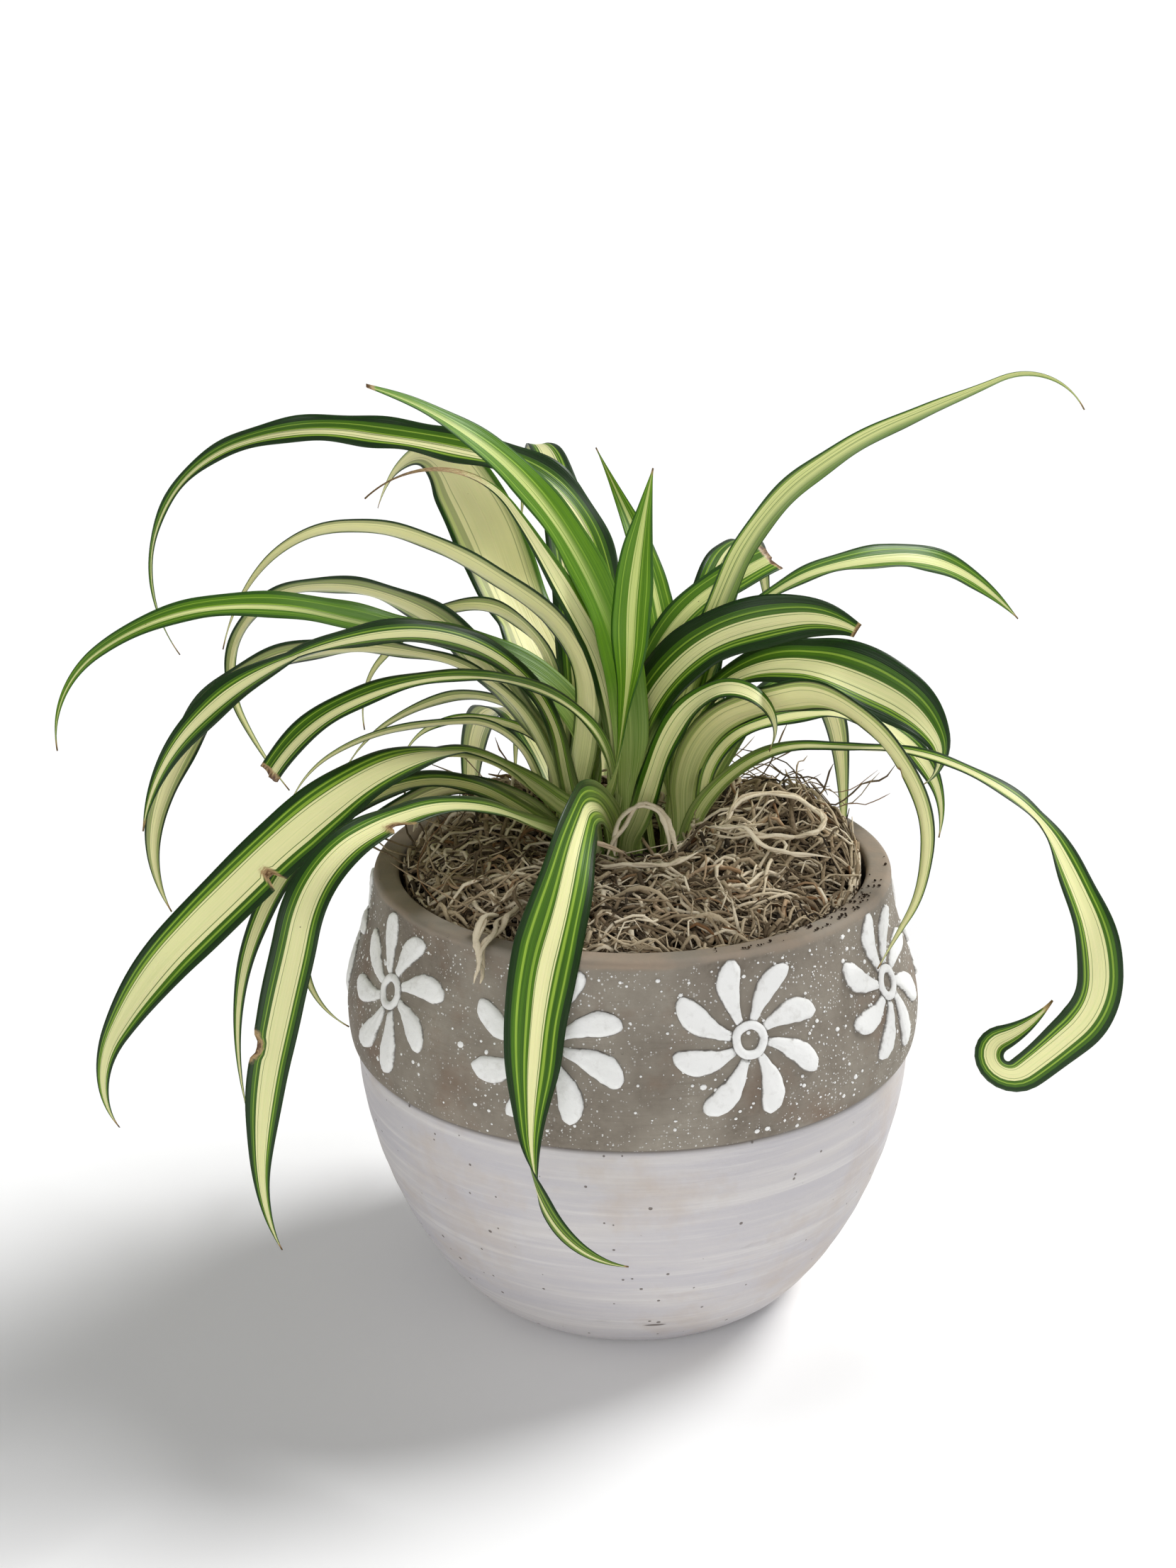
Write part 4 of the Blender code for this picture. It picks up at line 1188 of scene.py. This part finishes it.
def make_crumbs():
    """Crumbs of soil round the crown and spilled along the lip's right side."""
    random = np.random.default_rng(70)
    heights = np.radians((-70, -30, 15, 60))[:, None]
    turns = circle(7)
    crumbs = Tubes()
    for find_place in [crown_crumb_place] * CROWN_CRUMBS + [crumb_place] * LIP_CRUMBS:
        x, y, base, size = find_place(random)
        radius = size * random.uniform(0.7, 1.3, (4, 7))
        level = radius * np.cos(heights)
        z = base + size * 0.5 + radius * np.sin(heights) * 0.7
        crumbs.add(stacked(x + level * np.cos(turns), y + level * np.sin(turns), z))
    place(crumbs.piece("soil_crumbs", soil_material(), smooth=False), "soil")


def make_shoots():
    """Pale, ribbed stubs that the leaves sheathe."""
    rows = np.linspace(0, 1, 22)[:, None]
    turns = circle(30)
    rounding = np.sqrt(np.clip(1 - np.clip(rows - 0.9, 0, 1) ** 2 / 0.0101, 0, 1))
    radius = shoot_radius(rows * SHOOT_HEIGHT) * rounding * STUB_SLIMNESS * (1 + 0.04 * np.cos(turns * 6))
    height = SOIL_TOP - STUB_DEPTH + (SHOOT_HEIGHT * STUB_SLIMNESS + STUB_DEPTH) * rows
    for name, (x, y) in SHOOT_CENTRES.items():
        rings = stacked(x + radius * np.cos(turns), y + radius * np.sin(turns), height)
        piece = ring_piece("shoot_" + name + "_stub", rings, shoot_material(), "first", merged=True)
        place(piece, "shoot_tissue", "shoot_" + name)


def shoot_material():
    skin = Skin("shoot_skin", 0.45, 0.5)
    streak = skin.noise(skin.stretched(skin.here(), 500.0, 30.0), 1.0, 3.0)
    colour = streak.scaled(0.35, 0.65).mix(SHOOT_GREEN, SHOOT_PALE)
    return skin.finish(Base_Color=colour, Normal=skin.bumped(streak, 0.0003, 0.5))


# ---------------------------------------------------------------- camera, lights and floor

CAMERA_PLACE = (0.0, -0.59775, 0.357596)
CAMERA_TURNS = (70.53741, 0.41127, 0.99295)
CAMERA_LENS = 53.7


def make_camera():
    """Camera in front and above, turned a little left and up from the pot's axis."""
    data = bpy.data.cameras.new("camera")
    data.lens = CAMERA_LENS
    data.sensor_width = 36.0
    camera = bpy.data.objects.new("camera", data)
    camera.location = CAMERA_PLACE
    camera.rotation_euler = [math.radians(turn) for turn in CAMERA_TURNS]
    bpy.context.scene.collection.objects.link(camera)
    bpy.context.scene.camera = camera


SUN_TURN = math.radians(28)
SUN_HEIGHT_ANGLE = math.radians(46)
SUN_SOFTNESS = math.radians(25)
SUN_STRENGTH = 3.1
FILL_TURN = math.radians(-105)
FILL_HEIGHT_ANGLE = math.radians(5)
FILL_SOFTNESS = math.radians(60)
FILL_STRENGTH = 1.7
SKY_STRENGTH = 0.30
FLOOR_SIZE = 400.0


def add_sun(name, turn, height_angle, softness, strength):
    """A soft lamp that shines from a compass turn and a height angle."""
    level = math.cos(height_angle)
    towards = Vector((level * math.cos(turn), level * math.sin(turn), math.sin(height_angle)))
    data = bpy.data.lights.new(name, "SUN")
    data.energy = strength
    data.angle = softness
    lamp = bpy.data.objects.new(name, data)
    lamp.location = towards
    lamp.rotation_euler = (-towards).to_track_quat("-Z", "Y").to_euler()
    bpy.context.scene.collection.objects.link(lamp)


def make_lights():
    """Even white surroundings, a soft lamp at the right, high and a little behind, and a front fill."""
    world = bpy.data.worlds.new("studio")
    world.use_nodes = True
    background = world.node_tree.nodes["Background"]
    background.inputs["Color"].default_value = (1.0, 1.0, 1.0, 1.0)
    background.inputs["Strength"].default_value = SKY_STRENGTH
    bpy.context.scene.world = world
    add_sun("key", SUN_TURN, SUN_HEIGHT_ANGLE, SUN_SOFTNESS, SUN_STRENGTH)
    add_sun("fill", FILL_TURN, FILL_HEIGHT_ANGLE, FILL_SOFTNESS, FILL_STRENGTH)
    bpy.context.scene.view_settings.view_transform = "Standard"


def make_floor():
    skin = Skin("floor_white", 0.95, 0.0)
    skin.inputs["Base Color"].default_value = (0.96, 0.96, 0.96, 1.0)
    bpy.ops.mesh.primitive_plane_add(size=FLOOR_SIZE)
    floor = bpy.context.object
    floor.name = "floor"
    floor.data.materials.append(skin.material)


def main():
    make_camera()
    make_lights()
    make_floor()
    make_leaves()
    make_shoots()
    make_pot()
    make_daisies()
    make_splatter()
    make_moss_bed()
    make_moss_strands()
    make_loose_strands()
    make_pale_strands()
    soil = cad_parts["soil"].data.materials
    soil.clear()
    soil.append(soil_material())
    make_crumbs()


main()
